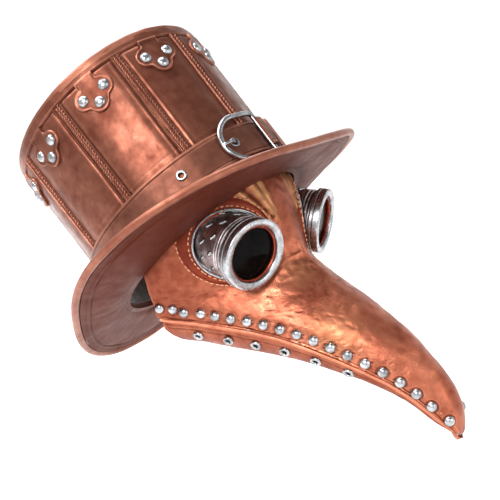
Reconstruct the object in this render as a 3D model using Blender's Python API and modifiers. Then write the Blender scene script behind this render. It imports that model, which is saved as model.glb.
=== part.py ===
"""Plague doctor costume mask with its hat, as worn: millimetre-true solids in metres.

The origin is the centre of the hat's head opening. +X is the wearer's left, -Y is
forwards and +Z is up. The hat sits tilted back, so its own axis leans by HAT_TILT.
"""

import math

import bmesh
import bpy
from mathutils import Matrix, Vector

# ---------------------------------------------------------------- hat sizes
HAT_TILT = math.radians(45.0)
CROWN_RX = 0.0889
CROWN_RY = 0.1000
CROWN_FLARE = 0.324
CROWN_TOP_Z = 0.1533
CROWN_WALL = 0.0035
LID_SKIRT = 0.0065
LID_PLATE = 0.0030
CROWN_SEGMENTS = 40

BRIM_RX = 0.1412
BRIM_RY = 0.1478
BRIM_THICK = 0.0040
BRIM_EDGE_Z = 0.0004
BRIM_CURL = 0.0092
BRIM_OVAL = 0.0262
BRIM_LOBES = -0.0700
BRIM_ROLL_R = 0.0030

BAND_BOTTOM = 0.0163
BAND_TOP = 0.0447
BAND_THICK = 0.0024
SWEATBAND_TOP = 0.0300
SWEATBAND_THICK = 0.0014

PANELS = 10
SEAM_WIDTH = 0.0085
SEAM_HEIGHT = 0.0016
TAB_RIVET_Z = 0.1273
TAB_LOW_RIVET_Z = 0.1180
TAB_RIVET_SPREAD = 0.0102
TAB_LOBE_R = 0.0066
TAB_STRAP_W = 0.0165
TAB_THICK = 0.0020

BUCKLE_LEFT = 21.0
BUCKLE_RIGHT = -9.0
BUCKLE_HALF_H = 0.0205
BUCKLE_WIRE_R = 0.0019
BAND_EYELETS = (14.3, 45.5)
EYELET_HOLE_R = 0.0021
STRAP_END_PHI = -46.0
KEEPER_PHI = -24.0

# --------------------------------------------------------------- mask sizes
SHELL = 0.0025
SEAM_GAP = 0.0018
PIPING_R = 0.0014
JAW_EYELETS = (5.12, 5.95, 6.90, 8.00, 9.22, 10.45)
JAW_EYELET_TURN = 26.0

# The goggle's front centre on the wearer's left, and how far it turns out and down.
GOGGLE_AT = Vector((0.0529, -0.0866, 0.0141))
GOGGLE_OUT = math.radians(14.6)
GOGGLE_DOWN = math.radians(5.7)
BEZEL_R = 0.0284
BEZEL_LIP_R = 0.0221
BEZEL_DEPTH = 0.0095
NECK_R = 0.0255
BORE_R = 0.0235
BARREL_R = 0.0264
BARREL_DEPTH = 0.0560
PATCH_R = 0.0325
GAP = 0.0003
TURN_STEPS = 32

# Stations of the mask from under the hat to the beak's tip, each with the side line
# (y, z), the centre line (y, z), the half width and the jaw's depth.
STATIONS = (
    ((0.0042, 0.0042), (-0.0610, 0.0694), 0.0815, 0.0),
    ((0.0030, -0.0080), (-0.0720, 0.0545), 0.0822, 0.0),
    ((0.0010, -0.0220), (-0.0834, 0.0343), 0.0810, 0.0),
    ((-0.0015, -0.0360), (-0.0903, 0.0172), 0.0785, 0.0),
    ((-0.0030, -0.0465), (-0.0958, 0.0065), 0.0748, 0.0258),
    ((-0.0300, -0.0472), (-0.1025, -0.0020), 0.0670, 0.0270),
    ((-0.0600, -0.0490), (-0.1130, -0.0105), 0.0580, 0.0270),
    ((-0.0836, -0.0511), (-0.1260, -0.0182), 0.0512, 0.0256),
    ((-0.1050, -0.0548), (-0.1408, -0.0254), 0.0452, 0.0232),
    ((-0.1250, -0.0600), (-0.1558, -0.0326), 0.0397, 0.0204),
    ((-0.1450, -0.0665), (-0.1717, -0.0412), 0.0343, 0.0172),
    ((-0.1640, -0.0730), (-0.1885, -0.0518), 0.0294, 0.0130),
    ((-0.1820, -0.0800), (-0.2034, -0.0648), 0.0248, 0.0115),
    ((-0.1975, -0.0885), (-0.2160, -0.0768), 0.0210, 0.0098),
    ((-0.2100, -0.0975), (-0.2250, -0.0892), 0.0179, 0.0085),
    ((-0.2190, -0.1045), (-0.2302, -0.1028), 0.0155, 0.0072),
    ((-0.2240, -0.1100), (-0.2318, -0.1150), 0.0118, 0.0055),
    ((-0.2262, -0.1150), (-0.2300, -0.1212), 0.0060, 0.0030),
)
FULLNESS = (2.0, 1.95, 1.72, 1.52, 1.46, 1.5, 1.62, 1.75, 1.85, 1.9)
REAR_CORNER = 4
JAW_FULLNESS = 0.4
NECK_CUT = ((4.0, 8.0), (4.5, 46.0), (5.0, 66.0), (6.0, 75.0), (7.0, 82.0), (8.0, 90.0))

# ---------------------------------------------------------------- finishes
HAT_LEATHER = ("hat_leather", (0.33, 0.13, 0.075), 0.42, 0.1)
BRIM_LEATHER = ("brim_leather", (0.45, 0.16, 0.085), 0.42, 0.1)
BAND_LEATHER = ("band_leather", (0.30, 0.115, 0.07), 0.45, 0.1)
MASK_LEATHER = ("mask_leather", (0.60, 0.20, 0.09), 0.40, 0.15)
PATCH_LEATHER = ("patch_leather", (0.38, 0.09, 0.045), 0.45, 0.05)
LINING = ("lining_cloth", (0.10, 0.06, 0.045), 0.9, 0.0)
SILVER = ("bright_silver", (0.62, 0.63, 0.65), 0.28, 1.0)
GUNMETAL = ("worn_gunmetal", (0.33, 0.31, 0.32), 0.38, 1.0)
COPPER = ("copper_ring", (0.52, 0.14, 0.07), 0.35, 0.8)
SMOKED = ("smoked_lens", (0.006, 0.005, 0.005), 0.06, 0.0)


def clear_scene():
    for old in list(bpy.data.objects):
        bpy.data.objects.remove(old, do_unlink=True)


def collection(name):
    group = bpy.data.collections.new(name)
    bpy.context.scene.collection.children.link(group)
    return group


def finish(piece, kind):
    name, colour, rough, metal = kind
    material = bpy.data.materials.get(name)
    if material is None:
        material = bpy.data.materials.new(name)
        material.use_nodes = True
        shader = material.node_tree.nodes["Principled BSDF"]
        shader.inputs["Base Color"].default_value = (*colour, 1.0)
        shader.inputs["Roughness"].default_value = rough
        shader.inputs["Metallic"].default_value = metal
    piece.data.materials.clear()
    piece.data.materials.append(material)
    return piece


def place(piece, parent=None, at=None):
    PARTS.objects.link(piece)
    piece.parent = parent
    if at is not None:
        piece.location = at
    if piece.type == "MESH":
        piece.data.shade_smooth()
        piece.data.set_sharp_from_angle(angle=math.radians(40.0))
    return piece


def mesh_piece(name, points, faces):
    mesh = bpy.data.meshes.new(name)
    mesh.from_pydata(points, [], faces)
    mesh.update()
    return bpy.data.objects.new(name, mesh)


def empty(name, matrix):
    axis = bpy.data.objects.new(name, None)
    PARTS.objects.link(axis)
    axis.matrix_world = matrix
    return axis


def turned(name, profile, steps=TURN_STEPS):
    """A closed (radius, height) outline, outer side first and downwards, turned about Z."""
    count = len(profile)
    edges = [(i, (i + 1) % count) for i in range(count)]
    mesh = bpy.data.meshes.new(name)
    mesh.from_pydata([(r, 0.0, z) for r, z in profile], edges, [])
    piece = bpy.data.objects.new(name, mesh)
    screw = piece.modifiers.new("turn", "SCREW")
    screw.steps = steps
    screw.render_steps = steps
    screw.use_merge_vertices = True
    screw.merge_threshold = 0.00001
    weld = piece.modifiers.new("close axis", "WELD")
    weld.merge_threshold = 0.00001
    return piece


def evaluated(piece):
    """The piece's mesh with its modifiers made real."""
    bpy.context.view_layer.update()
    graph = bpy.context.evaluated_depsgraph_get()
    return bpy.data.meshes.new_from_object(piece.evaluated_get(graph))


def tube(name, points, radius, sides=2, cyclic=False):
    """A round wire along points, as a closed mesh."""
    curve = bpy.data.curves.new(name, "CURVE")
    curve.dimensions = "3D"
    curve.bevel_depth = radius
    curve.bevel_resolution = sides
    curve.use_fill_caps = not cyclic
    spline = curve.splines.new("POLY")
    spline.points.add(len(points) - 1)
    for knot, point in zip(spline.points, points):
        knot.co = (*point, 1.0)
    spline.use_cyclic_u = cyclic
    wire = bpy.data.objects.new(name + "_curve", curve)
    bpy.context.scene.collection.objects.link(wire)
    mesh = evaluated(wire)
    bpy.data.objects.remove(wire, do_unlink=True)
    body = bmesh.new()
    body.from_mesh(mesh)
    bmesh.ops.remove_doubles(body, verts=body.verts, dist=0.00001)
    body.to_mesh(mesh)
    body.free()
    mesh.name = name
    return bpy.data.objects.new(name, mesh)


def boolean(piece, tool, kind):
    TOOLS.objects.link(tool)
    tool.hide_render = True
    tool.display_type = "WIRE"
    cut = piece.modifiers.new(kind.lower(), "BOOLEAN")
    cut.operation = kind
    cut.solver = "EXACT"
    cut.object = tool


def cylinder_tool(name, radius, low, high, matrix, steps=TURN_STEPS):
    body = bmesh.new()
    bmesh.ops.create_cone(body, cap_ends=True, segments=steps, radius1=radius,
                          radius2=radius, depth=high - low)
    bmesh.ops.translate(body, verts=body.verts, vec=(0.0, 0.0, 0.5 * (high + low)))
    mesh = bpy.data.meshes.new(name)
    body.to_mesh(mesh)
    body.free()
    tool = bpy.data.objects.new(name, mesh)
    tool.matrix_world = matrix
    return tool


def smooth_value(values, u):
    """Catmull-Rom through evenly spaced values."""
    last = len(values) - 1
    i = min(int(u), last - 1)
    t = u - i
    a = values[max(i - 1, 0)]
    b = values[i]
    c = values[i + 1]
    d = values[min(i + 2, last)]
    return 0.5 * (2 * b + (c - a) * t + (2 * a - 5 * b + 4 * c - d) * t * t
                  + (3 * b - a - 3 * c + d) * t ** 3)


# ------------------------------------------------------------------- the hat
def crown_scale(z):
    return 1.0 + CROWN_FLARE * (z - BAND_TOP)


def crown_point(phi, z, out=0.0):
    """On the crown, phi degrees from the front towards the wearer's right, in hat axes."""
    angle = math.radians(phi)
    size = crown_scale(z)
    normal = Vector((-math.sin(angle) / CROWN_RX, -math.cos(angle) / CROWN_RY, 0.0))
    normal.normalize()
    base = Vector((-CROWN_RX * size * math.sin(angle), -CROWN_RY * size * math.cos(angle), z))
    return base + normal * out


def crown_matrix(phi, z, out=0.0):
    """Local X round the crown, Y up it and Z straight out."""
    here = crown_point(phi, z, out)
    up = (crown_point(phi, z + 0.01, out) - here).normalized()
    side = (crown_point(phi - 1.0, z, out) - crown_point(phi + 1.0, z, out)).normalized()
    outward = side.cross(up).normalized()
    side = up.cross(outward)
    frame = Matrix((side, up, outward)).transposed().to_4x4()
    frame.translation = here
    return frame


def crown_ring(name, levels, inner, outer):
    """A ring round the crown between two (offset) walls; levels are its z values."""
    rows = [(CROWN_RY * crown_scale(z) + outer, z) for z in levels]
    rows += [(CROWN_RY * crown_scale(z) + inner, z) for z in reversed(levels)]
    ring = turned(name, rows, CROWN_SEGMENTS)
    ring.scale = (CROWN_RX / CROWN_RY, 1.0, 1.0)
    return ring


def make_crown(hat):
    wall_top = CROWN_TOP_Z - LID_PLATE - GAP
    wall = crown_ring("crown_wall", (wall_top, 0.1, 0.05, GAP), -CROWN_WALL, 0.0)
    place(finish(wall, HAT_LEATHER), hat)

    top_r = CROWN_RY * crown_scale(CROWN_TOP_Z)
    low_r = CROWN_RY * crown_scale(CROWN_TOP_Z - LID_SKIRT)
    lid_out = 0.0010
    round_off = 0.0010
    outline = (
        (0.0, CROWN_TOP_Z),
        (top_r + lid_out - round_off, CROWN_TOP_Z),
        (top_r + lid_out, CROWN_TOP_Z - round_off),
        (low_r + lid_out, CROWN_TOP_Z - LID_SKIRT),
        (low_r + GAP, CROWN_TOP_Z - LID_SKIRT),
        (top_r + GAP, CROWN_TOP_Z - LID_PLATE),
        (0.0, CROWN_TOP_Z - LID_PLATE),
    )
    lid = turned("crown_lid", outline, CROWN_SEGMENTS)
    lid.scale = (CROWN_RX / CROWN_RY, 1.0, 1.0)
    place(finish(lid, HAT_LEATHER), hat)

    inside = -CROWN_WALL - GAP
    sweat = crown_ring("sweatband", (SWEATBAND_TOP, 0.0012), inside - SWEATBAND_THICK, inside)
    place(finish(sweat, LINING), hat)


def brim_edge(phi):
    """The brim's outer edge in hat axes."""
    angle = math.radians(phi)
    size = 1.0 + BRIM_OVAL * math.cos(2 * angle) + BRIM_LOBES * math.cos(3 * angle)
    height = BRIM_EDGE_Z - BRIM_CURL * math.cos(2 * angle)
    return Vector((-BRIM_RX * size * math.sin(angle), -BRIM_RY * size * math.cos(angle), height))


def brim_point(phi, reach):
    """Across the brim's top face, reach 0 at the crown and 1 at the edge."""
    angle = math.radians(phi)
    inner_x = CROWN_RX * crown_scale(0.0) - CROWN_WALL
    inner_y = CROWN_RY * crown_scale(0.0) - CROWN_WALL
    inner = Vector((-inner_x * math.sin(angle), -inner_y * math.cos(angle), 0.0))
    outer = brim_edge(phi)
    across = inner.lerp(outer, reach)
    sag = 0.0030
    across.z = outer.z * reach ** 2 - sag * math.sin(math.pi * min(1.0, reach * 1.1) ** 0.8)
    if reach < 0.16:
        across.z = 0.0
    return across


def make_brim(hat):
    around = 48
    reaches = (0.0, 0.15, 0.42, 0.72, 1.0)
    points = []
    faces = []
    for i in range(around):
        for reach in reaches:
            points.append(brim_point(360.0 * i / around, reach))
    width = len(reaches)
    for i in range(around):
        j = (i + 1) % around
        for k in range(width - 1):
            faces.append((i * width + k, j * width + k, j * width + k + 1, i * width + k + 1))
    brim = mesh_piece("brim", points, faces)
    body = bmesh.new()
    body.from_mesh(brim.data)
    bmesh.ops.recalc_face_normals(body, faces=body.faces)
    if sum(face.normal.z for face in body.faces) < 0.0:
        bmesh.ops.reverse_faces(body, faces=body.faces)
    body.to_mesh(brim.data)
    body.free()
    shell = brim.modifiers.new("thickness", "SOLIDIFY")
    shell.thickness = BRIM_THICK
    shell.offset = -1.0
    place(finish(brim, BRIM_LEATHER), hat)

    ring = []
    for i in range(around):
        phi = 360.0 * i / around
        edge = brim_edge(phi)
        along = (brim_edge(phi + 4.0) - brim_edge(phi - 4.0)).normalized()
        inward = brim_point(phi, 0.86) - edge
        up = inward.cross(along).normalized()
        outward = up.cross(along).normalized()
        ring.append(edge + outward * (BRIM_ROLL_R + 0.0008) - up * 0.5 * BRIM_THICK)
    roll = tube("brim_edge_roll", ring, BRIM_ROLL_R, 1, cyclic=True)
    place(finish(roll, BRIM_LEATHER), hat)


def make_band(hat):
    band = crown_ring("hat_band", (BAND_TOP, BAND_BOTTOM), GAP, GAP + BAND_THICK)
    middle = 0.5 * (BAND_TOP + BAND_BOTTOM)
    for number, phi in enumerate(BAND_EYELETS):
        at = crown_matrix(phi, middle)
        hole = cylinder_tool(f"band_hole_{number + 1}", EYELET_HOLE_R, 0.00015, 0.008, at, 12)
        hole.matrix_world = Matrix.Identity(4)
        hole.data.transform(at)
        hole.parent = hat
        boolean(band, hole, "DIFFERENCE")
    place(finish(band, BAND_LEATHER), hat)

    for number, phi in enumerate(BAND_EYELETS):
        ring = turned(f"band_eyelet_{number + 1}", eyelet_outline(0.0042, 0.0021), 16)
        place(finish(ring, SILVER), hat)
        ring.matrix_local = crown_matrix(phi, middle, GAP + BAND_THICK + GAP + 0.00015)

    # The strap's free end arches over the buckle's bar and lies on the band.
    lift = 2 * BUCKLE_WIRE_R + 2 * GAP + 0.0002
    steps = 20
    rows = []
    start = BUCKLE_RIGHT + 3.2
    for i in range(steps + 1):
        phi = start + (STRAP_END_PHI - start) * i / steps
        rise = max(0.0, 1.0 - abs(phi - BUCKLE_RIGHT + 0.4) / 9.0)
        rise = rise * rise * (3.0 - 2.0 * rise)
        if phi > BUCKLE_RIGHT:
            rise = 1.0
        inner = GAP + BAND_THICK + 0.0006 + lift * rise
        tip = max(0.0, (KEEPER_PHI - 12.0 - phi) / 10.0)
        half = (0.5 * (BAND_TOP - BAND_BOTTOM) - 0.0008) * math.sqrt(max(0.05, 1.0 - tip ** 2))
        rows.append([
            crown_point(phi, middle - half, inner),
            crown_point(phi, middle + half, inner),
            crown_point(phi, middle + half, inner + 0.0018),
            crown_point(phi, middle - half, inner + 0.0018),
        ])
    place(finish(loft("strap_end", rows), BAND_LEATHER), hat)

    # The keeper is a staple of leather over the strap's end.
    out_low = GAP + BAND_THICK + 0.0006 + 0.0018 + 0.0006
    half = 0.5 * (BAND_TOP - BAND_BOTTOM) + 0.0006
    wall = 0.0016
    rows = []
    for i in range(5):
        phi = KEEPER_PHI - 2.6 + 5.2 * i / 4
        rows.append([
            crown_point(phi, middle - half - wall, 0.0007),
            crown_point(phi, middle - half, 0.0007),
            crown_point(phi, middle - half, out_low),
            crown_point(phi, middle + half, out_low),
            crown_point(phi, middle + half, 0.0007),
            crown_point(phi, middle + half + wall, 0.0007),
            crown_point(phi, middle + half + wall, out_low + wall),
            crown_point(phi, middle - half - wall, out_low + wall),
        ])
    place(finish(loft("strap_keeper", rows), BAND_LEATHER), hat)


def eyelet_outline(outer, inner):
    """A pressed ring that stands 1.2 mm proud, as (radius, height) from its outer edge."""
    middle = 0.5 * (outer + inner)
    return ((middle, 0.0012), (outer, 0.0005), (outer, 0.0), (inner, 0.0), (inner, 0.0008))


def loft(name, rows):
    """A closed solid through equal rings of points."""
    width = len(rows[0])
    points = [point for row in rows for point in row]
    faces = []
    for i in range(len(rows) - 1):
        for k in range(width):
            n = (k + 1) % width
            faces.append((i * width + k, i * width + n, (i + 1) * width + n, (i + 1) * width + k))
    faces.append(tuple(range(width)))
    faces.append(tuple((len(rows) - 1) * width + k for k in range(width)))
    piece = mesh_piece(name, points, faces)
    body = bmesh.new()
    body.from_mesh(piece.data)
    bmesh.ops.recalc_face_normals(body, faces=body.faces)
    body.to_mesh(piece.data)
    body.free()
    return piece


def make_seams(hat):
    low = BAND_TOP + 0.0008
    high = CROWN_TOP_Z - LID_SKIRT - 0.0006
    for number in range(PANELS):
        phi = 360.0 * number / PANELS
        strip = box_piece(f"seam_strip_{number + 1}", SEAM_WIDTH, high - low, SEAM_HEIGHT)
        edge = strip.modifiers.new("soft edge", "BEVEL")
        edge.width = 0.0005
        edge.segments = 1
        place(finish(strip, HAT_LEATHER), hat)
        at = crown_matrix(phi, 0.5 * (low + high), GAP + 0.5 * SEAM_HEIGHT)
        strip.matrix_local = at


def box_piece(name, x, y, z):
    body = bmesh.new()
    bmesh.ops.create_cube(body, size=1.0)
    bmesh.ops.scale(body, vec=(x, y, z), verts=body.verts)
    mesh = bpy.data.meshes.new(name)
    body.to_mesh(mesh)
    body.free()
    return bpy.data.objects.new(name, mesh)


def tab_outline():
    """Strap from the rim, then three round lobes; x across, y up from the low rivet."""
    rise = TAB_RIVET_Z - TAB_LOW_RIVET_Z
    top = CROWN_TOP_Z - LID_SKIRT - 0.0006 - TAB_LOW_RIVET_Z
    spread = TAB_RIVET_SPREAD
    lobe = TAB_LOBE_R
    half = 0.5 * TAB_STRAP_W
    points = [(half, top)]
    for degrees in (52, 20, -15, -50):
        a = math.radians(degrees)
        points.append((spread + lobe * math.cos(a), rise + lobe * math.sin(a)))
    for degrees in (-28, -62, -90):
        a = math.radians(degrees)
        points.append((lobe * math.cos(a), lobe * math.sin(a)))
    return points + [(-x, y) for x, y in reversed(points[:-1])]


def make_tabs(hat):
    for number in range(PANELS):
        phi = 360.0 * (number + 0.5) / PANELS
        curve = bpy.data.curves.new("tab", "CURVE")
        curve.dimensions = "2D"
        curve.fill_mode = "BOTH"
        curve.extrude = 0.5 * TAB_THICK
        spline = curve.splines.new("POLY")
        outline = tab_outline()
        spline.points.add(len(outline) - 1)
        for knot, (x, y) in zip(spline.points, outline):
            knot.co = (x, y, 0.0, 1.0)
        spline.use_cyclic_u = True
        flat = bpy.data.objects.new("tab_curve", curve)
        bpy.context.scene.collection.objects.link(flat)
        mesh = evaluated(flat)
        bpy.data.objects.remove(flat, do_unlink=True)
        body = bmesh.new()
        body.from_mesh(mesh)
        bmesh.ops.remove_doubles(body, verts=body.verts, dist=0.00001)
        body.to_mesh(mesh)
        body.free()
        name = f"trefoil_tab_{number + 1}"
        mesh.name = name
        tab = bpy.data.objects.new(name, mesh)
        rise = TAB_RIVET_Z - TAB_LOW_RIVET_Z
        places = ((-TAB_RIVET_SPREAD, rise), (TAB_RIVET_SPREAD, rise), (0.0, 0.0))
        body = bmesh.new()
        for x, y in places:
            dome(body, Vector((x, y, 0.5 * TAB_THICK)), Vector((0, 0, 1)), 0.0036, 0.0018)
        domes = bpy.data.meshes.new(name + "_rivets")
        body.to_mesh(domes)
        body.free()
        rivets = bpy.data.objects.new(name + "_rivets", domes)
        rivets.parent = tab
        boolean(tab, rivets, "UNION")
        place(finish(tab, HAT_LEATHER), hat)
        tab.matrix_local = crown_matrix(phi, TAB_LOW_RIVET_Z, 0.0004 + 0.5 * TAB_THICK + 0.0003)


def dome(body, at, normal, radius, height):
    """A low round rivet head sunk a little way into the surface."""
    turn = normal.to_track_quat("Z", "Y").to_matrix().to_4x4()
    scale = Matrix.Diagonal((radius, radius, height, 1.0))
    bmesh.ops.create_uvsphere(body, u_segments=6, v_segments=4, radius=1.0,
                              matrix=Matrix.Translation(at) @ turn @ scale)


def make_buckle(hat):
    middle = 0.5 * (BAND_TOP + BAND_BOTTOM)
    out = GAP + BAND_THICK + 0.0005 + BUCKLE_WIRE_R
    bar = crown_point(BUCKLE_RIGHT, middle, out)
    frame_axis = bpy.data.objects.new("buckle_bar_axis", None)
    PARTS.objects.link(frame_axis)
    frame_axis.parent = hat
    frame_axis.location = bar

    corner = 5.0
    loop = []
    for i in range(7):
        a = math.radians(90.0 - 180.0 * i / 6)
        phi = BUCKLE_LEFT - 13.0 + 13.0 * math.cos(a)
        loop.append((phi, middle + BUCKLE_HALF_H * math.sin(a)))
    for side in (-1.0, 1.0):
        angles = range(0, 91, 30)
        for degrees in angles if side < 0 else reversed(angles):
            a = math.radians(degrees)
            phi = BUCKLE_RIGHT + corner * (1.0 - math.sin(a))
            z = middle + side * (BUCKLE_HALF_H - 0.003 * (1.0 - math.cos(a)))
            loop.append((phi, z))
    points = [crown_point(phi, z, out) - bar for phi, z in loop]
    frame = tube("buckle_frame", points, BUCKLE_WIRE_R, 1, cyclic=True)
    place(finish(frame, SILVER), frame_axis)

    # The prong lies over the frame's round end and its tip drops into the eyelet.
    pivot = crown_point(BUCKLE_LEFT, middle, out)
    prong_axis = bpy.data.objects.new("buckle_prong_axis", None)
    PARTS.objects.link(prong_axis)
    prong_axis.parent = frame_axis
    prong_axis.location = pivot - bar
    wire = 0.0011
    turn_r = BUCKLE_WIRE_R + wire + GAP
    outward = (crown_point(BUCKLE_LEFT, middle, 1.0) - crown_point(BUCKLE_LEFT, middle)).normalized()
    along = outward.cross(Vector((0.0, 0.0, 1.0)))
    points = [outward * 0.97 * turn_r + along * 0.0012, outward * turn_r]
    tip_out = GAP + BAND_THICK + 0.0016
    points.append(crown_point(17.0, middle, out + 0.0022) - pivot)
    points.append(crown_point(15.0, middle, tip_out + 0.0012) - pivot)
    points.append(crown_point(14.3, middle, tip_out - 0.0002) - pivot)
    up = Vector((0.0, 0.0, 1.0))
    rows = []
    for i, point in enumerate(points):
        ahead = points[min(i + 1, len(points) - 1)] - points[max(i - 1, 0)]
        normal = up.cross(ahead).normalized()
        rows.append([point + (up * math.cos(a) + normal * math.sin(a)) * wire
                     for a in (k * math.pi / 4 for k in range(8))])
    place(finish(loft("buckle_prong", rows), SILVER), prong_axis)


# ------------------------------------------------------------------ the mask
def station(u):
    """The mask's station u as side point, centre point, half width and jaw depth."""
    side = Vector((0.0, smooth_value([s[0][0] for s in STATIONS], u),
                   smooth_value([s[0][1] for s in STATIONS], u)))
    ridge = Vector((0.0, smooth_value([s[1][0] for s in STATIONS], u),
                    smooth_value([s[1][1] for s in STATIONS], u)))
    width = smooth_value([s[2] for s in STATIONS], u)
    jaw = smooth_value([s[3] for s in STATIONS], u)
    return side, ridge, width, jaw


def fullness(u):
    """2 makes a station's outline an ellipse, and less draws it in towards the nose."""
    return smooth_value(FULLNESS, min(u, len(FULLNESS) - 1.0))


def shell_point(u, d):
    """On the face and the beak's upper side: d is 0 on the side line and 1 on the ridge."""
    side, ridge, width, _ = station(u)
    power = fullness(u)
    point = side.lerp(ridge, d)
    point.x = width * max(0.0, 1.0 - d ** power) ** (1.0 / power)
    return point


def rise(u, height):
    """The share of station u's slant that stands this height above the side line."""
    side, ridge, _, _ = station(u)
    along = (station(min(u + 0.1, 17.0))[0] - station(u - 0.1)[0]).normalized()
    return height / along.cross(ridge - side).length


def jaw_point(u, t):
    """On the jaw: t is 0 degrees at the side line and 90 under the middle."""
    side, _, width, depth = station(u)
    ahead = station(min(u + 0.1, 17.0))[0]
    behind = station(max(u - 0.1, 4.0))[0]
    along = (ahead - behind).normalized()
    down = Vector((0.0, -along.z, along.y))
    if down.z > 0.0:
        down = -down
    a = math.radians(t)
    point = side + down * depth * math.sin(a)
    point.x = width * max(0.0, math.cos(a)) ** JAW_FULLNESS
    if t >= 89.99:
        point.x = 0.0
    return point


def grid(rows, close_end):
    """Quads through rows of points; close_end joins the last row into one face."""
    width = len(rows[0])
    points = [point for row in rows for point in row]
    faces = []
    for i in range(len(rows) - 1):
        for k in range(width - 1):
            faces.append((i * width + k, i * width + k + 1,
                          (i + 1) * width + k + 1, (i + 1) * width + k))
    if close_end:
        faces.append(tuple((len(rows) - 1) * width + k for k in range(width)))
    return points, faces


def mirrored_shell(name, rows):
    piece = mesh_piece(name, *grid(rows, close_end=False))
    body = bmesh.new()
    body.from_mesh(piece.data)
    bmesh.ops.recalc_face_normals(body, faces=body.faces)
    if sum(face.normal.x * face.calc_area() for face in body.faces) < 0.0:
        bmesh.ops.reverse_faces(body, faces=body.faces)
    body.to_mesh(piece.data)
    body.free()
    mirror = piece.modifiers.new("both sides", "MIRROR")
    mirror.use_clip = True
    mirror.merge_threshold = 0.00005
    return piece


def shell_rows(us, columns):
    rows = []
    for u in us:
        first = rise(u, SEAM_GAP) if u > REAR_CORNER - 0.01 else 0.0
        row = []
        for k in range(columns + 1):
            share = math.sin(0.5 * math.pi * k / columns) ** (2.0 / fullness(u))
            row.append(shell_point(u, first + (1.0 - first) * share))
        row[-1].x = 0.0
        rows.append(row)
    return rows


def spread(first, last, count):
    return [first + (last - first) * i / count for i in range(count + 1)]


def goggle_matrix(side):
    """Local +Z points out through the lens. side is 1 on the wearer's left, -1 right."""
    ahead = Vector((side * math.sin(GOGGLE_OUT) * math.cos(GOGGLE_DOWN),
                    -math.cos(GOGGLE_OUT) * math.cos(GOGGLE_DOWN),
                    -math.sin(GOGGLE_DOWN)))
    across = Vector((0.0, 0.0, 1.0)).cross(ahead).normalized()
    up = ahead.cross(across)
    frame = Matrix((across, up, ahead)).transposed().to_4x4()
    frame.translation = Vector((side * GOGGLE_AT.x, GOGGLE_AT.y, GOGGLE_AT.z))
    return frame


def make_face():
    us = spread(0.0, 4.0, 6)[:-1] + spread(4.0, 16.9, 22)
    face = mirrored_shell("face_shell", shell_rows(us, 8))
    skin = face.modifiers.new("leather", "SOLIDIFY")
    skin.thickness = SHELL
    skin.offset = -1.0
    for side, label in ((1, "left"), (-1, "right")):
        hole = cylinder_tool(f"barrel_hole_{label}", BARREL_R + 0.0006, -0.075, 0.01,
                             goggle_matrix(side))
        boolean(face, hole, "DIFFERENCE")
    place(finish(face, MASK_LEATHER))


def neck_cut(u):
    """How far round the jaw reaches at station u, leaving the neck free."""
    for (a, low), (b, high) in zip(NECK_CUT, NECK_CUT[1:]):
        if u <= b:
            return low + (high - low) * (u - a) / (b - a)
    return 90.0


def make_jaw():
    rows = []
    columns = 6
    for u in spread(4.15, 5.0, 3)[:-1] + spread(5.0, 16.9, 21):
        depth = station(u)[3]
        first = math.degrees(math.asin(min(0.9, SEAM_GAP / depth)))
        last = max(neck_cut(u), first + 3.0)
        rows.append([jaw_point(u, first + (last - first) * k / columns)
                     for k in range(columns + 1)])
    jaw = mirrored_shell("jaw_panel", rows)
    skin = jaw.modifiers.new("leather", "SOLIDIFY")
    skin.thickness = 0.0020
    skin.offset = -1.0
    holes = bmesh.new()
    for side, label in ((1, "left"), (-1, "right")):
        for number in range(len(JAW_EYELETS)):
            at = jaw_eyelet_matrix(number, side)
            bmesh.ops.create_cone(holes, cap_ends=True, segments=10, radius1=0.0016,
                                  radius2=0.0016, depth=0.014, matrix=at)
            ring = turned(f"jaw_eyelet_{label}_{number + 1}", eyelet_outline(0.0044, 0.0019), 10)
            ring.modifiers.new("tidy", "WELD").merge_threshold = 0.00001
            place(finish(ring, SILVER))
            ring.matrix_world = at @ Matrix.Translation((0.0, 0.0, 0.0009))
    mesh = bpy.data.meshes.new("jaw_holes")
    holes.to_mesh(mesh)
    holes.free()
    boolean(jaw, bpy.data.objects.new("jaw_holes", mesh), "DIFFERENCE")
    place(finish(jaw, MASK_LEATHER))


def jaw_eyelet_matrix(number, side):
    """Eyelets stand on the jaw's flank, about 25 mm apart."""
    u = JAW_EYELETS[number]
    t = JAW_EYELET_TURN
    at = jaw_point(u, t)
    along = (jaw_point(u + 0.05, t) - jaw_point(u - 0.05, t)).normalized()
    down = (jaw_point(u, t + 2.0) - jaw_point(u, t - 2.0)).normalized()
    normal = along.cross(down).normalized()
    if normal.x < 0.0:
        normal = -normal
    if side < 0:
        at.x = -at.x
        normal.x = -normal.x
    frame = normal.to_track_quat("Z", "Y").to_matrix().to_4x4()
    frame.translation = at
    return frame


def make_piping():
    left = []
    for u in spread(4.03, 16.6, 26):
        side, _, width, _ = station(u)
        left.append(Vector((width + 0.0003, side.y, side.z)))
    nose = station(16.9)[0]
    tip = [Vector((0.0060, nose.y - 0.0012, nose.z - 0.0040)),
           Vector((0.0, nose.y - 0.0024, nose.z - 0.0078))]
    points = left + tip + [Vector((-p.x, p.y, p.z)) for p in reversed(left + tip[:1])]
    place(finish(tube("seam_piping", points, PIPING_R, 1), MASK_LEATHER))


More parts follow.
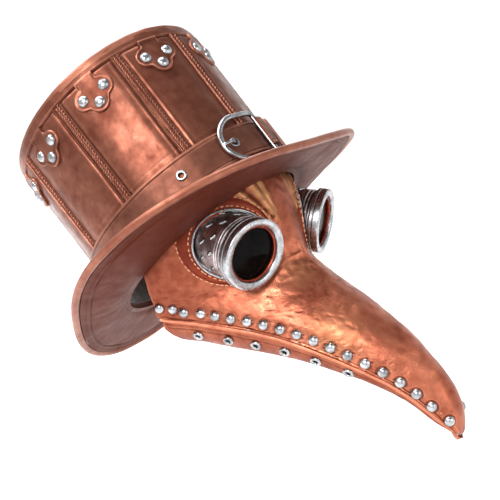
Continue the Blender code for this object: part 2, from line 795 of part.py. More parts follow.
def make_patches():
    for side, label in ((1, "left"), (-1, "right")):
        us = spread(0.8, 7.6, 11)
        rows = shell_rows(us, 8)
        near = []
        for row in rows:
            near.append([Vector((side * p.x, p.y, p.z)) for p in row[:-1]])
        piece = mesh_piece(f"eye_patch_{label}", *grid(near, close_end=False))
        body = bmesh.new()
        body.from_mesh(piece.data)
        bmesh.ops.recalc_face_normals(body, faces=body.faces)
        if sum(face.normal.x * face.calc_area() for face in body.faces) * side < 0.0:
            bmesh.ops.reverse_faces(body, faces=body.faces)
        for vert in body.verts:
            vert.co += vert.normal * 0.0006
        body.to_mesh(piece.data)
        body.free()
        skin = piece.modifiers.new("leather", "SOLIDIFY")
        skin.thickness = 0.0014
        skin.offset = 1.0
        at = goggle_matrix(side)
        outer = cylinder_tool(f"patch_outline_{label}", PATCH_R, -0.075, 0.01, at, 40)
        boolean(piece, outer, "INTERSECT")
        inner = cylinder_tool(f"patch_hole_{label}", BARREL_R + 0.0009, -0.08, 0.02, at)
        boolean(piece, inner, "DIFFERENCE")
        room = cylinder_tool(f"bezel_room_{label}", BEZEL_R + 0.0006, -BEZEL_DEPTH - 0.0006,
                             0.01, at)
        boolean(piece, room, "DIFFERENCE")
        place(finish(piece, PATCH_LEATHER))


def make_goggles():
    for side, label in ((1, "left"), (-1, "right")):
        axis = empty(f"goggle_axis_{label}", goggle_matrix(side))
        make_barrel(axis, side, label)
        bezel = turned(f"goggle_bezel_{label}", (
            (BEZEL_R - 0.0012, 0.0),
            (BEZEL_R, -0.0012),
            (BEZEL_R, -BEZEL_DEPTH + 0.0010),
            (BEZEL_R - 0.0010, -BEZEL_DEPTH),
            (NECK_R + GAP, -BEZEL_DEPTH),
            (NECK_R + GAP, -0.0030),
            (BEZEL_LIP_R, -0.0030),
            (BEZEL_LIP_R, -0.0012),
            (BEZEL_LIP_R + 0.0012, 0.0),
        ))
        place(finish(bezel, SILVER), axis)
        seat_r = BORE_R - GAP
        ring = turned(f"retaining_ring_{label}", (
            (seat_r, -0.0034), (seat_r, -0.0050), (0.0209, -0.0050), (0.0209, -0.0034)))
        place(finish(ring, COPPER), axis)
        lens = turned(f"lens_{label}", (
            (0.0, -0.0046), (0.0120, -0.0050), (0.0204, -0.0056), (seat_r, -0.0056),
            (seat_r, -0.0074), (0.0, -0.0074)))
        place(finish(lens, SMOKED), axis)


def make_barrel(axis, side, label):
    neck_end = -BEZEL_DEPTH - GAP
    outline = [(NECK_R, -0.0034), (NECK_R, neck_end)]
    for rib in range(2):
        at = neck_end - 0.0034 * rib
        outline += [(BARREL_R - 0.0002, at), (BARREL_R - 0.0002, at - 0.0018)]
        outline += [(NECK_R, at - 0.0018), (NECK_R, at - 0.0034)]
    outline = outline[:-1]
    outline += [(NECK_R + 0.0003, neck_end - 0.0075), (BARREL_R, -0.030), (BARREL_R, -BARREL_DEPTH)]
    outline += [(0.0236, -BARREL_DEPTH), (0.0215, -0.030), (0.0215, -0.0078)]
    outline += [(BORE_R, -0.0078), (BORE_R, -0.0034)]
    barrel = turned(f"goggle_barrel_{label}", outline)
    # Its root is cut on the slant that the cheek leaves.
    slant = Matrix.Rotation(side * math.radians(33.0), 4, "Y")
    frame = Matrix.Translation((0.0, 0.0, -0.0285)) @ slant
    block = box_piece(f"barrel_root_cut_{label}", 0.16, 0.12, 0.08)
    block.data.transform(frame @ Matrix.Translation((0.0, 0.0, -0.04)))
    block.parent = axis
    boolean(barrel, block, "DIFFERENCE")
    place(finish(barrel, GUNMETAL), axis)


def main():
    hat = empty("hat_axis", Matrix.Rotation(-HAT_TILT, 4, "X"))
    make_crown(hat)
    make_brim(hat)
    make_band(hat)
    make_seams(hat)
    make_tabs(hat)
    make_buckle(hat)
    make_face()
    make_jaw()
    make_piping()
    make_patches()
    make_goggles()


clear_scene()
PARTS = collection("plague_doctor_mask")
TOOLS = collection("cutters")
main()
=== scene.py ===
"""Leather, metal and glass for a beaked costume mask worn under a riveted top hat.

Everything is in metres. The origin is the centre of the hat's head opening, +X is the
wearer's left, -Y is forwards and +Z is up. The hat leans back by HAT_TILT.
"""

import math

import bmesh
import bpy
from mathutils import Matrix, Vector, noise
from mathutils.bvhtree import BVHTree


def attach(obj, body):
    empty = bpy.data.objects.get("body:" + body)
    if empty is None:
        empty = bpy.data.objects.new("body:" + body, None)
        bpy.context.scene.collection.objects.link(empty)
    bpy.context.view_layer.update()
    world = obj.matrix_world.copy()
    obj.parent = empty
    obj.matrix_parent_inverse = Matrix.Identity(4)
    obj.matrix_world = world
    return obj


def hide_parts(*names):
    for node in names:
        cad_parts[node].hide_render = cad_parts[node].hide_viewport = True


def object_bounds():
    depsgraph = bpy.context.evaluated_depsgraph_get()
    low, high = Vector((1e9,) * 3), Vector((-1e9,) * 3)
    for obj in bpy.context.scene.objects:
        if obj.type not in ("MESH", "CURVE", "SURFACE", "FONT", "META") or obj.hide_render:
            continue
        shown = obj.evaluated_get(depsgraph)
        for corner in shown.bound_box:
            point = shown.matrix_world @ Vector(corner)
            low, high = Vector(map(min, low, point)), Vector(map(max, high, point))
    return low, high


bl_info = {
    "name": "Plague doctor mask and hat",
    "version": (1, 0, 0),
    "blender": (4, 5, 0),
    "location": "3D View > Sidebar > Mask",
    "description": "Builds the leather, metal and glass of a beaked mask and its top hat",
    "category": "Add Mesh",
}

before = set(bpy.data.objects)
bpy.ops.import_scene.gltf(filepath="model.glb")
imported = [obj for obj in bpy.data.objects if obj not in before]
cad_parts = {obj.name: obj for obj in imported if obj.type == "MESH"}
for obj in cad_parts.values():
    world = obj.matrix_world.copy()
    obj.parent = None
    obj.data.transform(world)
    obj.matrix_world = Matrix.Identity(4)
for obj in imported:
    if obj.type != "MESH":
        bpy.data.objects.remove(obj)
FRAME_LOW, FRAME_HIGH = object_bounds()

# ------------------------------------------------------------- driving sizes
UP = Vector((0.0, 0.0, 1.0))
SIDES = ((1, "left"), (-1, "right"))
SHARP_ANGLE = math.radians(50.0)
RIVET_STEPS = 24
HAT_TILT = -45.0
HAT = Matrix.Rotation(math.radians(HAT_TILT), 4, "X")
HAT_UP = HAT.to_3x3() @ UP
CROWN_RX = 0.0889
CROWN_RY = 0.1000
CROWN_FLARE = 0.324
CROWN_TOP = 0.1533
CROWN_WALL = 0.0035
BRIM_RX = 0.1412
BRIM_RY = 0.1478
BRIM_THICK = 0.0040
BRIM_EDGE_Z = 0.0004
BRIM_CURL = 0.0092
BRIM_OVAL = 0.0262
BRIM_LOBES = -0.0700
BRIM_ROLL_R = 0.0030
BAND_LOW = 0.0163
BAND_HIGH = 0.0447
BAND_THICK = 0.0024
BAND_MIDDLE = 0.5 * (BAND_LOW + BAND_HIGH)
PANELS = 10
HEM_Z = 0.1425
SEAM_HALF = 0.0043
TAB_LOW_Z = 0.1180
TAB_RISE = 0.0093
TAB_SPREAD = 0.0102
TAB_RIVET_TALL = 0.0022
TAB_RIVETS = ((-TAB_SPREAD, TAB_RISE), (TAB_SPREAD, TAB_RISE), (0.0, 0.0))
BUCKLE_LEFT = 21.0
BUCKLE_RIGHT = -9.0
BUCKLE_HALF_H = 0.0205
BUCKLE_ROUND = 13.0
BUCKLE_CORNER = 5.0
TONGUE_HOOK_R = 0.0036
BAND_EYELETS = (14.3, 45.5)
KEEPER_PHI = -24.0
STRAP_END_PHI = -46.0
GAP = 0.0003
LID_THICK = 0.0030
LID_SKIRT = 0.0066
LID_ROUND = 0.0022
LID_STITCH = 0.93
STRAP_THICK = 0.0019

# A patch's section: the share of the way from the barrel's hole to its edge, and its lift.
PATCH_SECTION = (
    (0.0, 0.0006), (0.06, 0.0014), (0.14, 0.0012), (0.3, 0.0017), (0.5, 0.0018),
    (0.7, 0.0016), (0.84, 0.0011), (0.92, 0.0014), (0.97, 0.0010), (1.0, -0.0006),
)
# The buckle bar's section: across the bar in the band's face, and out from the band.
BUCKLE_SECTION = (
    (0.0023, 0.0), (0.0020, 0.0010), (0.0010, 0.0017), (-0.0007, 0.0018), (-0.0019, 0.0012),
    (-0.0023, 0.0), (-0.0019, -0.0012), (0.0, -0.0018), (0.0019, -0.0012),
)
# Where a patch's two stitch lines run, as shares of the way to its edge.
OUTER_STITCHES = 0.80
INNER_STITCHES = 0.14
STITCH_LENGTH = 0.0026
STITCH_PITCH = 0.0041
STITCH_R = 0.0005

# A tab's section: the share of the way out to its edge, and how proud it stands there.
TAB_SECTION = (
    (0.0, 0.0023), (0.45, 0.0022), (0.72, 0.0021), (0.84, 0.0022), (0.90, 0.0027),
    (0.945, 0.0027), (0.98, 0.0021), (0.996, 0.0012), (1.0, -0.0006),
)

MASK_SHELL = 0.0022
JAW_SHELL = 0.0020
SEAM_GAP = 0.0018
PIPING_R = 0.0015
GOGGLE_AT = Vector((0.0529, -0.0866, 0.0141))
GOGGLE_OUT = math.radians(14.6)
GOGGLE_DOWN = math.radians(5.7)
BEZEL_R = 0.0284
BEZEL_LIP_R = 0.0221
BEZEL_DEPTH = 0.0095
NECK_R = 0.0255
BARREL_R = 0.0264
BARREL_HOLE_R = BARREL_R + 0.0006
BARREL_ROOT = 0.0560
BARREL_BORE_R = 0.0215
LENS_SEAT_R = 0.0232
LENS_R = 0.0204
LENS_BACK = 0.0074
VENT_ROWS = (-0.0245, -0.0345)

# Stations from under the hat to the beak's tip: the side line (y, z), the centre line
# (y, z), the half width and the jaw's depth.
STATIONS = (
    ((0.0042, 0.0042), (-0.0610, 0.0694), 0.0815, 0.0),
    ((0.0030, -0.0080), (-0.0720, 0.0545), 0.0822, 0.0),
    ((0.0010, -0.0220), (-0.0834, 0.0343), 0.0810, 0.0),
    ((-0.0015, -0.0360), (-0.0903, 0.0172), 0.0785, 0.0),
    ((-0.0030, -0.0465), (-0.0958, 0.0065), 0.0748, 0.0258),
    ((-0.0300, -0.0472), (-0.1025, -0.0020), 0.0670, 0.0270),
    ((-0.0600, -0.0490), (-0.1130, -0.0105), 0.0580, 0.0270),
    ((-0.0836, -0.0511), (-0.1260, -0.0182), 0.0512, 0.0256),
    ((-0.1050, -0.0548), (-0.1408, -0.0254), 0.0452, 0.0232),
    ((-0.1250, -0.0600), (-0.1558, -0.0326), 0.0397, 0.0204),
    ((-0.1450, -0.0665), (-0.1717, -0.0412), 0.0343, 0.0172),
    ((-0.1640, -0.0730), (-0.1885, -0.0518), 0.0294, 0.0130),
    ((-0.1820, -0.0800), (-0.2034, -0.0648), 0.0248, 0.0115),
    ((-0.1975, -0.0885), (-0.2160, -0.0768), 0.0210, 0.0098),
    ((-0.2100, -0.0975), (-0.2250, -0.0892), 0.0179, 0.0085),
    ((-0.2190, -0.1045), (-0.2302, -0.1028), 0.0155, 0.0072),
    ((-0.2240, -0.1100), (-0.2318, -0.1150), 0.0118, 0.0055),
    ((-0.2262, -0.1150), (-0.2300, -0.1212), 0.0060, 0.0030),
)
FULLNESS = (2.0, 1.95, 1.72, 1.52, 1.46, 1.5, 1.62, 1.75, 1.85, 1.9)
STATION_COLUMNS = tuple(zip(*((*side, *centre, width, depth)
                              for side, centre, width, depth in STATIONS)))
TIP_STATION = len(STATIONS) - 1.0
LAST_STATION = 16.9
REAR_CORNER = 4.0
JAW_COLUMNS = 30
JAW_FULLNESS = 0.4
JAW_EYELETS = (5.12, 5.95, 6.90, 8.00, 9.22, 10.45)
JAW_EYELET_TURN = 26.0
NECK_CUT = ((4.0, 8.0), (4.5, 46.0), (5.0, 66.0), (6.0, 75.0), (7.0, 82.0), (8.0, 90.0))
FOLDS_FOOT = Vector((0.013, -0.082, 0.029))
REAR_RIVETS = [(3.24, 0.046), (3.82, 0.154)]
BEAK_RIVET_TALL = 0.0024
BEAK_RIVET_FIRST = 0.0071
BEAK_RIVET_PITCH = 0.0143
BEAK_RIVET_HEIGHT = 0.0086

# Each soft light: where it stands, what it looks at, its width and its share of the key power.
SOFTBOXES = {
    "key": ((-1.25, -0.35, 0.85), (0.0, 0.0, 0.04), 0.55, 0.62),
    "top_left": ((-0.65, 0.75, 1.15), (0.0, -0.05, 0.0), 0.60, 0.80),
    "top": ((0.15, 0.35, 1.7), (0.0, 0.0, 0.0), 1.0, 0.60),
    "back_rim": ((0.9, 1.1, 0.8), (0.0, 0.0, 0.05), 0.8, 0.35),
    "front_fill": ((-0.2, -1.5, 0.5), (0.0, -0.08, 0.0), 0.9, 0.20),
}
CAMERA_LENS = 49.88
CAMERA_AT = Vector((-0.45315, -0.37117, 0.17400))
CAMERA_RIGHT = Vector((0.575822, -0.816469, -0.042507))
CAMERA_UP = Vector((0.269994, 0.140826, 0.952508))


# ------------------------------------------------------------ user's settings
class HatSettings(bpy.types.PropertyGroup):
    leather: bpy.props.FloatVectorProperty(
        name="Leather", description="Crown leather in the shade", subtype="COLOR",
        size=3, min=0.0, max=1.0, default=(0.075, 0.017, 0.009))
    sheen: bpy.props.FloatVectorProperty(
        name="Copper sheen", description="Rubbed copper on the high spots", subtype="COLOR",
        size=3, min=0.0, max=1.0, default=(0.255, 0.098, 0.063))
    rivet_radius: bpy.props.FloatProperty(
        name="Rivet radius", description="Radius of a rivet head on a tab",
        unit="LENGTH", default=0.0046, min=0.002, max=0.006)
    tab_lobe: bpy.props.FloatProperty(
        name="Tab lobe radius", description="Leather left round each rivet of a tab",
        unit="LENGTH", default=0.0080, min=0.005, max=0.010)
    seam_height: bpy.props.FloatProperty(
        name="Seam height", description="How proud a seam's piped edge stands",
        unit="LENGTH", default=0.0019, min=0.0005, max=0.003)


class MaskSettings(bpy.types.PropertyGroup):
    leather: bpy.props.FloatVectorProperty(
        name="Leather", description="Beak leather in its hollows", subtype="COLOR",
        size=3, min=0.0, max=1.0, default=(0.160, 0.029, 0.014))
    sheen: bpy.props.FloatVectorProperty(
        name="Copper sheen", description="Rubbed copper on the high spots", subtype="COLOR",
        size=3, min=0.0, max=1.0, default=(0.560, 0.195, 0.112))
    rivets: bpy.props.IntProperty(
        name="Rivets", description="Dome rivets on each side of the beak",
        default=19, min=3, max=30)
    rivet_radius: bpy.props.FloatProperty(
        name="Rivet radius", description="Radius of a rivet head on the beak",
        unit="LENGTH", default=0.0042, min=0.002, max=0.006)
    crease_depth: bpy.props.FloatProperty(
        name="Crease depth", description="Depth of the folds beside the nose",
        unit="LENGTH", default=0.0016, min=0.0, max=0.003)


class GoggleSettings(bpy.types.PropertyGroup):
    metal: bpy.props.FloatVectorProperty(
        name="Barrel metal", description="Weathered metal of the barrels", subtype="COLOR",
        size=3, min=0.0, max=1.0, default=(0.27, 0.235, 0.235))
    slots: bpy.props.IntProperty(
        name="Vent slots", description="Vent slots in one row round a barrel",
        default=12, min=4, max=24)
    slot_length: bpy.props.FloatProperty(
        name="Slot length", description="Length of one vent slot",
        unit="LENGTH", default=0.0074, min=0.002, max=0.012)


class StageSettings(bpy.types.PropertyGroup):
    floor: bpy.props.FloatVectorProperty(
        name="Floor", description="Colour of the studio floor", subtype="COLOR",
        size=3, min=0.0, max=1.0, default=(0.97, 0.97, 0.97))
    key_power: bpy.props.FloatProperty(
        name="Key light", description="Power of the main softbox in watts",
        default=34.0, min=0.0, max=400.0)


# ------------------------------------------------------------- small helpers
def smooth_value(values, u):
    """Catmull-Rom through evenly spaced values."""
    last = len(values) - 1
    i = min(int(u), last - 1)
    t = u - i
    a = values[max(i - 1, 0)]
    b = values[i]
    c = values[i + 1]
    d = values[min(i + 2, last)]
    return 0.5 * (2 * b + (c - a) * t + (2 * a - 5 * b + 4 * c - d) * t * t
                  + (3 * b - a - 3 * c + d) * t ** 3)


def spread(first, last, count):
    return [first + (last - first) * i / count for i in range(count + 1)]


def ease(x):
    """0 below 0, 1 above 1 and smooth between."""
    x = min(1.0, max(0.0, x))
    return x * x * (3.0 - 2.0 * x)


def ridge(distance, width):
    """A soft bump of height 1 at distance 0, gone at the width."""
    return ease(1.0 - abs(distance) / width)


def new_piece(name, mesh, finish):
    mesh.materials.append(finish)
    piece = bpy.data.objects.new(name, mesh)
    bpy.context.scene.collection.objects.link(piece)
    return piece


def mesh_piece(name, points, faces, finish):
    mesh = bpy.data.meshes.new(name)
    mesh.from_pydata([tuple(p) for p in points], [], faces)
    mesh.update()
    return new_piece(name, mesh, finish)


def tidy(piece):
    """Faces out, smooth shading, sharp only at real corners."""
    body = bmesh.new()
    body.from_mesh(piece.data)
    bmesh.ops.remove_doubles(body, verts=body.verts, dist=0.000002)
    bmesh.ops.recalc_face_normals(body, faces=body.faces)
    body.to_mesh(piece.data)
    body.free()
    piece.data.shade_smooth()
    piece.data.set_sharp_from_angle(angle=SHARP_ANGLE)
    return piece


def rows_piece(name, rows, finish, around=False, closed=False, caps=False):
    """Quads through rows of points. around joins the last row to the first, closed joins
    each row's ends, and caps fills the first and last rows."""
    count = len(rows)
    width = len(rows[0])
    faces = []
    for i in range(count if around else count - 1):
        j = (i + 1) % count
        for k in range(width if closed else width - 1):
            n = (k + 1) % width
            faces.append((i * width + k, i * width + n, j * width + n, j * width + k))
    if caps:
        faces.append(tuple(range(width)))
        faces.append(tuple((count - 1) * width + k for k in range(width)))
    return tidy(mesh_piece(name, [p for row in rows for p in row], faces, finish))


def carry(piece, body="root", nodes=()):
    """The piece stands for its frame nodes and rides on a body."""
    if nodes:
        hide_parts(*nodes)
    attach(piece, body)


def real_mesh(piece):
    """The piece's modifiers made real."""
    bpy.context.view_layer.update()
    graph = bpy.context.evaluated_depsgraph_get()
    mesh = bpy.data.meshes.new_from_object(piece.evaluated_get(graph))
    piece.modifiers.clear()
    piece.data = mesh


def thicken(piece, thickness):
    """Gives a skin its thickness, on its inner side."""
    skin = piece.modifiers.new("leather", "SOLIDIFY")
    skin.thickness = thickness
    skin.offset = -1.0
    real_mesh(piece)


def cut(piece, tool):
    """Takes the tool out of the piece for good."""
    carve = piece.modifiers.new("cut", "BOOLEAN")
    carve.operation = "DIFFERENCE"
    carve.solver = "EXACT"
    carve.object = tool
    real_mesh(piece)
    bpy.data.objects.remove(tool, do_unlink=True)
    if not piece.data.polygons:
        raise RuntimeError(f"{piece.name} has no faces left after its cut")
    piece.data.set_sharp_from_angle(angle=SHARP_ANGLE)


def punch(piece, matrix, radius, depth, finish, segments):
    """Cuts a round hole along the matrix's Z axis."""
    body = bmesh.new()
    bmesh.ops.create_cone(body, cap_ends=True, segments=segments, radius1=radius,
                          radius2=radius, depth=depth, matrix=matrix)
    cut(piece, bmesh_piece("punch", body, finish))


def mark(piece, name, strength):
    """Marks every point of the piece from 0 to 1, for the finish to read: the gold mark is how
    strongly it's rubbed with gold, with a painted highlight on the beak's flank, and the shade
    mark how much painted shade darkens it."""
    marks = piece.data.attributes.new(name, "FLOAT", "POINT")
    marks.data.foreach_set("value", [strength(vert.co) for vert in piece.data.vertices])


def rounded_bar(body, matrix, length, radius, segments=12):
    """A capsule along local X, for stitches and slots."""
    ring = bmesh.ops.create_uvsphere(body, u_segments=segments, v_segments=8, radius=radius,
                                     matrix=Matrix.Rotation(math.pi / 2, 4, "Y"))
    for vert in ring["verts"]:
        vert.co.x += math.copysign(max(0.0, 0.5 * length - radius), vert.co.x)
    bmesh.ops.transform(body, matrix=matrix, verts=ring["verts"])


def bmesh_piece(name, body, finish):
    mesh = bpy.data.meshes.new(name)
    body.to_mesh(mesh)
    body.free()
    mesh.shade_smooth()
    mesh.set_sharp_from_angle(angle=SHARP_ANGLE)
    return new_piece(name, mesh, finish)


def turned_rows(profile, matrix, steps, wobble=None):
    """Rings of a closed (radius, height) outline about the matrix's Z axis."""
    rows = []
    for i in range(steps):
        a = 2.0 * math.pi * i / steps
        row = []
        for r, z in profile:
            if wobble is not None:
                r += wobble(a, r, z)
            row.append(matrix @ Vector((r * math.cos(a), r * math.sin(a), z)))
        rows.append(row)
    return rows


def arc(centre, radius, first, last, count=5):
    """Profile points round a corner, with angles in degrees."""
    points = []
    for degrees in spread(first, last, count):
        a = math.radians(degrees)
        points.append((centre[0] + radius * math.cos(a), centre[1] + radius * math.sin(a)))
    return points


def sweep(name, points, section, finish, cyclic=False, normals=None):
    """A section carried along points; normals are the section's second axis."""
    rows = []
    count = len(points)
    for i, point in enumerate(points):
        if cyclic:
            ahead = points[(i + 1) % count] - points[i - 1]
        else:
            ahead = points[min(i + 1, count - 1)] - points[max(i - 1, 0)]
        ahead.normalize()
        up = normals[i] if normals else UP
        up = (up - ahead * up.dot(ahead)).normalized()
        side = ahead.cross(up)
        rows.append([point + side * x + up * y for x, y in section])
    return rows_piece(name, rows, finish, around=cyclic, closed=True, caps=not cyclic)


def oval(half_x, half_y, count=12):
    return [(half_x * math.cos(2 * math.pi * i / count), half_y * math.sin(2 * math.pi * i / count))
            for i in range(count)]


def unevenness(point, size, seed=0.0):
    """Smooth noise from -1 to 1 whose lumps are about the size across."""
    return noise.noise(point / size + Vector((seed, 0.37 * seed, -0.71 * seed)))


def dome_rivet(body, matrix, radius, height):
    """A round-headed rivet with a thin lip, its base in the matrix's XY plane."""
    profile = [(0.0, height), (0.22 * radius, 0.985 * height), (0.45 * radius, 0.90 * height),
               (0.66 * radius, 0.73 * height), (0.83 * radius, 0.47 * height),
               (0.94 * radius, 0.18 * height), (radius, 0.0), (radius, -0.0008)]
    steps = RIVET_STEPS
    top = body.verts.new(matrix @ Vector((0.0, 0.0, height)))
    rings = []
    for r, z in profile[1:]:
        rings.append([body.verts.new(matrix @ Vector((r * math.cos(2 * math.pi * i / steps),
                                                      r * math.sin(2 * math.pi * i / steps), z)))
                      for i in range(steps)])
    for i in range(steps):
        j = (i + 1) % steps
        body.faces.new((top, rings[0][i], rings[0][j]))
        for low, high in zip(rings, rings[1:]):
            body.faces.new((low[i], high[i], high[j], low[j]))
    body.faces.new(list(reversed(rings[-1])))


def frame_at(point, outward, upward):
    """A matrix at the point with Z outward and Y as near upward as it can be."""
    z = outward.normalized()
    x = upward.cross(z).normalized()
    y = z.cross(x)
    matrix = Matrix((x, y, z)).transposed().to_4x4()
    matrix.translation = point
    return matrix


# ------------------------------------------------------------------ materials
class Nodes:
    """Short names for the few shader nodes that the finishes share."""

    def __init__(self, name):
        self.material = bpy.data.materials.new(name)
        self.material.use_nodes = True
        self.tree = self.material.node_tree
        self.shader = self.tree.nodes["Principled BSDF"]
        self.place = self.tree.nodes.new("ShaderNodeTexCoord").outputs["Object"]

    def link(self, out, socket):
        self.tree.links.new(out, socket)

    def noise(self, scale, detail=4.0, rough=0.55, stretch=None):
        node = self.tree.nodes.new("ShaderNodeTexNoise")
        node.inputs["Scale"].default_value = scale
        node.inputs["Detail"].default_value = detail
        node.inputs["Roughness"].default_value = rough
        self.link(self.stretched(stretch), node.inputs["Vector"])
        return node.outputs["Fac"]

    def cells(self, scale, feature="F1", stretch=None):
        node = self.tree.nodes.new("ShaderNodeTexVoronoi")
        node.feature = feature
        node.inputs["Scale"].default_value = scale
        self.link(self.stretched(stretch), node.inputs["Vector"])
        return node.outputs["Distance"]

    def stretched(self, stretch):
        if stretch is None:
            return self.place
        node = self.tree.nodes.new("ShaderNodeMapping")
        node.inputs["Scale"].default_value = stretch
        self.link(self.place, node.inputs["Vector"])
        return node.outputs["Vector"]

    def ramp(self, value, low, high, first=0.0, last=1.0):
        node = self.tree.nodes.new("ShaderNodeMapRange")
        for name, number in (("From Min", low), ("From Max", high),
                             ("To Min", first), ("To Max", last)):
            node.inputs[name].default_value = number
        self.link(value, node.inputs["Value"])
        return node.outputs["Result"]

    def math(self, kind, a, b):
        node = self.tree.nodes.new("ShaderNodeMath")
        node.operation = kind
        for socket, value in zip(node.inputs, (a, b)):
            if isinstance(value, float):
                socket.default_value = value
            else:
                self.link(value, socket)
        return node.outputs["Value"]

    def mix(self, share, a, b):
        node = self.tree.nodes.new("ShaderNodeMix")
        node.data_type = "RGBA"
        self.link(share, node.inputs["Factor"])
        for socket, value in ((node.inputs["A"], a), (node.inputs["B"], b)):
            if isinstance(value, tuple):
                socket.default_value = (*value, 1.0)
            else:
                self.link(value, socket)
        return node.outputs["Result"]

    def edges(self, low=0.50, high=0.56):
        """How exposed a spot is: 1 on raised edges, 0 in hollows."""
        node = self.tree.nodes.new("ShaderNodeNewGeometry")
        return self.ramp(node.outputs["Pointiness"], low, high)

    def bump(self, height, strength, distance, under=None):
        node = self.tree.nodes.new("ShaderNodeBump")
        node.inputs["Strength"].default_value = strength
        node.inputs["Distance"].default_value = distance
        self.link(height, node.inputs["Height"])
        if under is not None:
            self.link(under, node.inputs["Normal"])
        return node.outputs["Normal"]

    def finish(self, colour, rough, normal, metal=0.0, **constants):
        self.link(colour, self.shader.inputs["Base Color"])
        self.link(rough, self.shader.inputs["Roughness"])
        self.link(normal, self.shader.inputs["Normal"])
        self.shader.inputs["Metallic"].default_value = metal
        for name, value in constants.items():
            self.shader.inputs[name.replace("_", " ")].default_value = value
        return self.material


def shaded(colour, share):
    return tuple(min(1.0, c * share) for c in colour)


def found_or_made(make):
    """The material of that name, made only the first time it is asked for."""
    def find(name, *look):
        return bpy.data.materials.get(name) or make(name, *look)
    return find


@found_or_made
def leather(name, dark, light, metal, rough, grain=1.0):
    """Waxed leather rubbed with copper: pores, fine creases, cloudy colour, bright edges."""
    n = Nodes(name)
    clouds = n.noise(38.0, 5.0, 0.6)
    blotch = n.noise(150.0, 3.0, 0.6)
    pores = n.cells(1500.0)
    creases = n.cells(620.0, "DISTANCE_TO_EDGE")
    edge = n.edges(0.505, 0.55)
    share = n.math("ADD", n.ramp(clouds, 0.33, 0.68, 0.12, 0.56),
                   n.ramp(blotch, 0.3, 0.7, -0.07, 0.16))
    worn = n.math("ADD", share, n.math("MULTIPLY", edge, 0.55))
    colour = n.mix(n.ramp(worn, 0.0, 1.0), dark, light)
    # Gold rubbed on the beak's folds, with a painted highlight on its flank, read from a mark.
    gilt_and_highlight = n.tree.nodes.new("ShaderNodeAttribute")
    gilt_and_highlight.attribute_name = "gilt_and_highlight"
    colour = n.mix(n.math("MULTIPLY", gilt_and_highlight.outputs["Fac"], n.ramp(blotch, 0.3, 0.6, 0.55, 1.0)),
                   colour, (0.52, 0.27, 0.12))
    # Painted shade, read from a mark: darker on the brim's underside, the jaw and the rear of the
    # face.
    painted_shade = n.tree.nodes.new("ShaderNodeAttribute")
    painted_shade.attribute_name = "painted_shade"
    colour = n.mix(painted_shade.outputs["Fac"], colour, shaded(dark, 0.75))
    hollow = n.edges(0.497, 0.470)
    colour = n.mix(n.math("MULTIPLY", hollow, 0.80), colour, shaded(dark, 0.30))
    roughness = n.ramp(n.math("ADD", clouds, n.math("MULTIPLY", blotch, 0.5)),
                       0.45, 1.05, rough + 0.12, rough - 0.07)
    fine = n.bump(pores, 0.10 * grain, 0.0006)
    fine = n.bump(n.ramp(creases, 0.0, 0.12), 0.12 * grain, 0.0008, fine)
    fine = n.bump(blotch, 0.12 * grain, 0.0016, fine)
    roughness = n.math("ADD", roughness, n.math("MULTIPLY", painted_shade.outputs["Fac"], 0.22))
    return n.finish(colour, roughness, fine, metal, Specular_IOR_Level=0.10)


@found_or_made
def metal_finish(name, dark, light, rough, brushed=None, grime=0.5, scratches=0.05):
    """Bare metal with fine scratches, with darker grime in its hollows."""
    n = Nodes(name)
    stain = n.noise(90.0, 6.0, 0.7)
    lines = n.noise(900.0, 3.0, 0.6, brushed)
    colour = n.mix(n.ramp(stain, 0.38, 0.66), dark, light)
    hollow = n.edges(0.498, 0.465)
    colour = n.mix(n.math("MULTIPLY", hollow, grime), colour, shaded(dark, 0.15))
    roughness = n.math("ADD", n.ramp(stain, 0.3, 0.7, rough + 0.10, rough - 0.05),
                       n.ramp(lines, 0.3, 0.7, -0.04, 0.07))
    normal = n.bump(lines, scratches, 0.0005, n.bump(stain, 0.03, 0.001))
    return n.finish(colour, roughness, normal, 1.0)


def hat_leather():
    s = bpy.context.scene.mask_hat
    return leather("crown leather", tuple(s.leather), tuple(s.sheen), 0.80, 0.32, 0.7)


def brim_leather():
    s = bpy.context.scene.mask_hat
    return leather("brim leather", (0.095, 0.014, 0.005), shaded(tuple(s.sheen), 1.05), 0.70, 0.36)


def band_leather():
    s = bpy.context.scene.mask_hat
    return leather("band leather", (0.070, 0.023, 0.015), shaded(tuple(s.sheen), 0.95), 0.75, 0.36)


def mask_leather():
    s = bpy.context.scene.mask_face
    return leather("beak leather", tuple(s.leather), tuple(s.sheen), 0.80, 0.33, 1.2)


def patch_leather():
    return leather("patch leather", (0.085, 0.010, 0.005), (0.240, 0.040, 0.016), 0.30, 0.36)


@found_or_made
def woven_cloth(name):
    n = Nodes(name)
    weave = n.math("MULTIPLY", n.noise(1400.0, 1.0, 0.4, (1.0, 1.0, 0.2)),
                   n.noise(1400.0, 1.0, 0.4, (0.2, 0.2, 1.0)))
    colour = n.mix(n.ramp(weave, 0.1, 0.4), (0.030, 0.017, 0.012), (0.085, 0.050, 0.036))
    return n.finish(colour, n.ramp(weave, 0.1, 0.4, 0.95, 0.8), n.bump(weave, 0.5, 0.0008),
                    Sheen_Weight=0.3)


def bright_silver():
    return metal_finish("nickel silver", (0.20, 0.205, 0.215), (0.47, 0.48, 0.50), 0.24)


def barrel_metal():
    s = bpy.context.scene.mask_goggles
    return metal_finish("weathered gunmetal", shaded(tuple(s.metal), 0.60),
                        shaded(tuple(s.metal), 2.8), 0.30, (0.3, 0.3, 1.0), 0.9, 0.08)


def bezel_metal():
    return metal_finish("brushed bezel silver", (0.27, 0.275, 0.285), (0.50, 0.51, 0.53), 0.24,
                        (0.35, 1.0, 0.35), 0.8, 0.05)


def copper_metal():
    return metal_finish("copper ring", (0.16, 0.022, 0.012), (0.42, 0.085, 0.045), 0.32)


